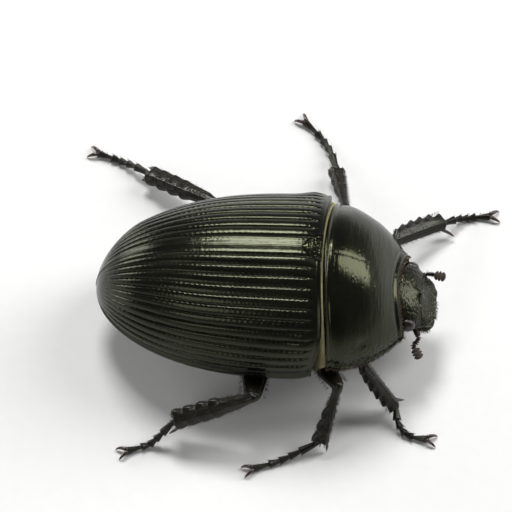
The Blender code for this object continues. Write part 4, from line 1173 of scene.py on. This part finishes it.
def shield_coat(top, lean):
    """Fringes of the neck shield: golden behind it, pale enough to paint the highlight along its hind edge,
    short before it, and curved under its sides.
    """
    gold, rust = Coat(), Coat()
    rows, columns = top.shape[:2]
    b = RNG.uniform(0.02, 0.98, 4200)
    leant = np.interp(b * (columns - 1), np.arange(columns), lean)
    out = grid(0.0, np.sin(leant), np.cos(leant))
    gold.add(along_line(top[1], b) - out * 0.04, out * 0.62 + (-0.70, 0, 0), 0.50, 0.011,
             (1 / rows, b), 0, bend=(-0.35, 0, 0) - out * 0.42, spread=0.10)
    b = RNG.uniform(0.02, 0.98, 420)
    rust.add(along_line(top[-2], b) - UP * 0.05, (0.85, 0, -0.35), 0.26, 0.010,
             ((rows - 2) / rows, b), 0, spread=0.16)
    for tile, side in enumerate(SIDES, 2):
        turn, x = RNG.uniform(0.02, 0.95, 1500), RNG.uniform(3.45, 3.85, 1500)
        width, crown = hull_size(x, NECK)
        roots = sided(grid(x, width * np.cos(turn), margin_z(x) + crown * np.sin(turn)), side)
        out = sided(grid(-0.15, np.cos(turn), np.sin(turn)), side)
        gold.add(roots, out, 0.95, 0.011, ((x - 3.4) / 0.5, turn), tile, spread=0.10)
    gold.make("coat_neck_fringe", GOLD_HAIR_AND_PAINTED_HIGHLIGHT, "shield")
    for line, side in ((top[:, 0], "right"), (top[:, -1], "left")):
        a = RNG.uniform(0.03, 0.97, 700)
        shift, head, bend = sided(((0.0, 0.06, 0.06), (-0.15, 0.25, -0.85), (-0.1, -0.3, -0.1)), side)
        rust.add(along_line(line, a) - shift, head, 0.42, 0.011, (a, 0.5 + 0.45 * SIDES[side]), 1, bend, 0.2)
    rust.make("coat_neck_shield", RUST_HAIR, "shield")


def head_coat():
    """Bristles of the lips, the jaws, the cheeks and the feelers."""
    coat = Coat()
    rings, _ = head_surface(60, 64)
    points, normals, spots = scatter(rings, (0.25, 0.97), (0.52, 0.98), 620)
    coat.add(head_place(points), (normals * 0.5 + (0.5, 0, -0.4)) @ HEAD_TURN, 0.30, 0.009, spots, 0)
    share = RNG.uniform(-1, 1, 150)
    lip = head_place(grid(3.03 - 0.05 * share**2, 0.66 * share, -0.58))
    coat.add(lip, (0.9, 0, -0.45) @ HEAD_TURN, 0.30, 0.009, (share / 2 + 0.5, share / 2 + 0.5), 1)
    for tile, side in enumerate(SIDES, 3):
        share = RNG.uniform(0, 1, 120)
        edge = head_place(grid(1.9 + 1.0 * share, 1.46 - 0.32 * share**3, -1.02), side)
        out = sided((0.45, 0.8, -0.2), side) @ HEAD_TURN
        coat.add(edge, out, 0.34, 0.010, (share, share), 2)
        root, tip = head_place(FEELER_ROOT, side), sided(FEELER_POSE[side][0], side)
        share = RNG.uniform(0.3, 1.0, 26)
        out = unit(RNG.normal(0, 1, (26, 3)) + sided((0.0, 0.6, 0.0), side))
        coat.add(root + (tip - root) * share[:, None] + out * 0.15, out + unit(tip - root), 0.30, 0.009,
                 (share, share), tile)
    coat.make("coat_head", DARK_HAIR, "shield")


def limb_hair(coat, tile, pair, bone, place, long, count):
    """Bristles of a thigh or shin, most of them along its two edges."""
    length, wide, tall = LEG_SIZES[pair][bone]
    share, turn = RNG.uniform(0.14, 0.97, count), RNG.uniform(0, 2 * pi, count)
    edge = RNG.uniform(0, 1, count) < 0.6
    turn = np.where(edge, np.where(turn < pi, 0.0, pi) + RNG.normal(0, 0.25, count), turn)
    if bone == "femur":
        grow = np.sin(pi * (0.12 + 0.76 * share)) * 0.25 + 0.72
    elif pair == "fore":
        grow = np.where(np.cos(turn) > 0, 0.78 + 0.2 * share, 0.44)
    else:
        grow = 0.96 * curve(*zip(*SHIN_SWELL[pair]), share)
    local = grid(length * share, wide * grow * np.cos(turn), tall * grow * np.sin(turn))
    roots, tips = place(local), place(local + grid(0.6, np.cos(turn), np.sin(turn)))
    coat.add(roots, tips - roots, long, 0.010, (share, np.mod(turn / 2 / pi, 1)), tile, spread=0.15)


def leg_coat(side):
    """Bristles of one side's legs: on the thighs and shins, and crowns on the joints of the feet."""
    coat = Coat()
    for number, pair in enumerate(LEG_SIZES):
        hip, knee, ankle, joints = leg_joints(pair, side)
        limb_hair(coat, number * 3, pair, "femur", limb(hip, knee, 0.0, side), 0.30, 360)
        roll = LEG_POSE[pair, side][4]
        limb_hair(coat, number * 3 + 1, pair, "tibia", limb(knee, ankle, roll, side), 0.24, 380)
        for k, (start, end) in enumerate(zip(joints, joints[1:])):
            ahead = unit(end - start)
            across = unit(np.cross(UP, ahead))
            turn = RNG.uniform(0, 2 * pi, 26)
            out = across * np.cos(turn)[:, None] + np.cross(ahead, across) * np.sin(turn)[:, None]
            share = np.where(RNG.uniform(0, 1, 26) < 0.6, 0.95, RNG.uniform(0.2, 0.9, 26))
            roots = start + (end - start) * share[:, None] + out * (0.13 + 0.10 * share[:, None])
            lift = 1 - np.clip(roots[:, 2:] / 0.3, 0.15, 1.0)
            coat.add(roots, ahead * 0.9 + out * 0.75 + UP * lift * 0.3, 0.22, 0.010,
                     ((k + share) / 5, turn / 2 / pi), number * 3 + 2, spread=0.08)
    coat.make(f"coat_legs_{side}", DARK_HAIR, "leg")


# ---- Stage ----

def stand(made, place, towards):
    """Puts a camera or lamp at a place, looking along a direction."""
    made.location = place
    made.rotation_mode = "QUATERNION"
    made.rotation_quaternion = towards.to_track_quat("-Z", "Y")


def floor():
    mesh = bpy.data.meshes.new("floor")
    corners = [(-3.0, -3.0, 0.0), (3.0, -3.0, 0.0), (3.0, 3.0, 0.0), (-3.0, 3.0, 0.0)]
    mesh.from_pydata(corners, [], [(0, 1, 2, 3)])
    mesh.materials.append(floor_finish())
    ground = shown("floor", mesh)


def camera():
    """A long lens from above the beetle's right side."""
    azimuth, elevation = radians(4.2), radians(60.0)
    back = Vector((sin(azimuth) * cos(elevation), -cos(azimuth) * cos(elevation), sin(elevation)))
    target = Vector(in_world(np.array((-0.85, 2.27, 4.5))))
    view_width = 32.65 * MM
    made = shown("camera", bpy.data.cameras.new("camera"))
    made.data.lens = 600.0
    made.data.clip_start, made.data.clip_end = 0.005, 20.0
    distance = view_width / 2 / (made.data.sensor_width / 2 / made.data.lens)
    stand(made, target + back * distance, -back)
    bpy.context.scene.camera = made


def lamps():
    """Three soft boxes and a sun, turned about their own axes so that the key's reflection lies aslant."""
    for name, place, size, power in (
        ("key", (0.140, 0.072, 0.124), (0.07, 0.20), 0.30),
        ("rim", (-0.160, 0.095, 0.050), (0.10, 0.10), 0.15),
        ("fill", (-0.100, -0.140, 0.120), (0.10, 0.10), 0.06),
        ("sun", (-0.030, 0.110, 0.164), None, 2.25),
    ):
        made = shown(name, bpy.data.lights.new(name, "AREA" if size else "SUN"))
        if size:
            made.data.shape = "ELLIPSE"
            made.data.size, made.data.size_y = size
        else:
            made.data.angle = radians(20)
        made.data.energy = power
        stand(made, place, Vector((0, 0, 0.004)) - Vector(place))
        made.rotation_quaternion @= Quaternion((0.0, 0.0, 1.0), radians(-20.0))


def sky():
    """Grey light that fades from the horizon up."""
    world = bpy.data.worlds.new("studio")
    world.use_nodes = True
    nodes = Nodes(world.node_tree)
    place = nodes.add("TexCoord").outputs["Generated"]
    height = nodes.add("SeparateXYZ", [(0, place)]).outputs["Z"]
    background = world.node_tree.nodes["Background"].inputs
    glow = nodes.ramp(height, (0.0, 0.72), (0.16, 0.34), (0.45, 0.07))
    world.node_tree.links.new(glow, background["Color"])
    background["Strength"].default_value = 1.0
    bpy.context.scene.world = world
    bpy.context.scene.view_settings.view_transform = "Standard"


def build():
    """Every piece in turn, then the coats, whose random draws follow this order, and the stage."""
    for side in SIDES:
        wing_case(side)
        feeler(side)
    scutellum()
    shield = neck_shield()
    head()
    mouth()
    for pair in LEG_SIZES:
        for side in SIDES:
            for make in (coxa, femur, tibia, tarsus, claws):
                make(pair, side)
    body_coat(abdomen(), thorax(), prosternum())
    shield_coat(*shield)
    head_coat()
    for side in SIDES:
        leg_coat(side)
    for make in (floor, camera, lamps, sky):
        make()


build()
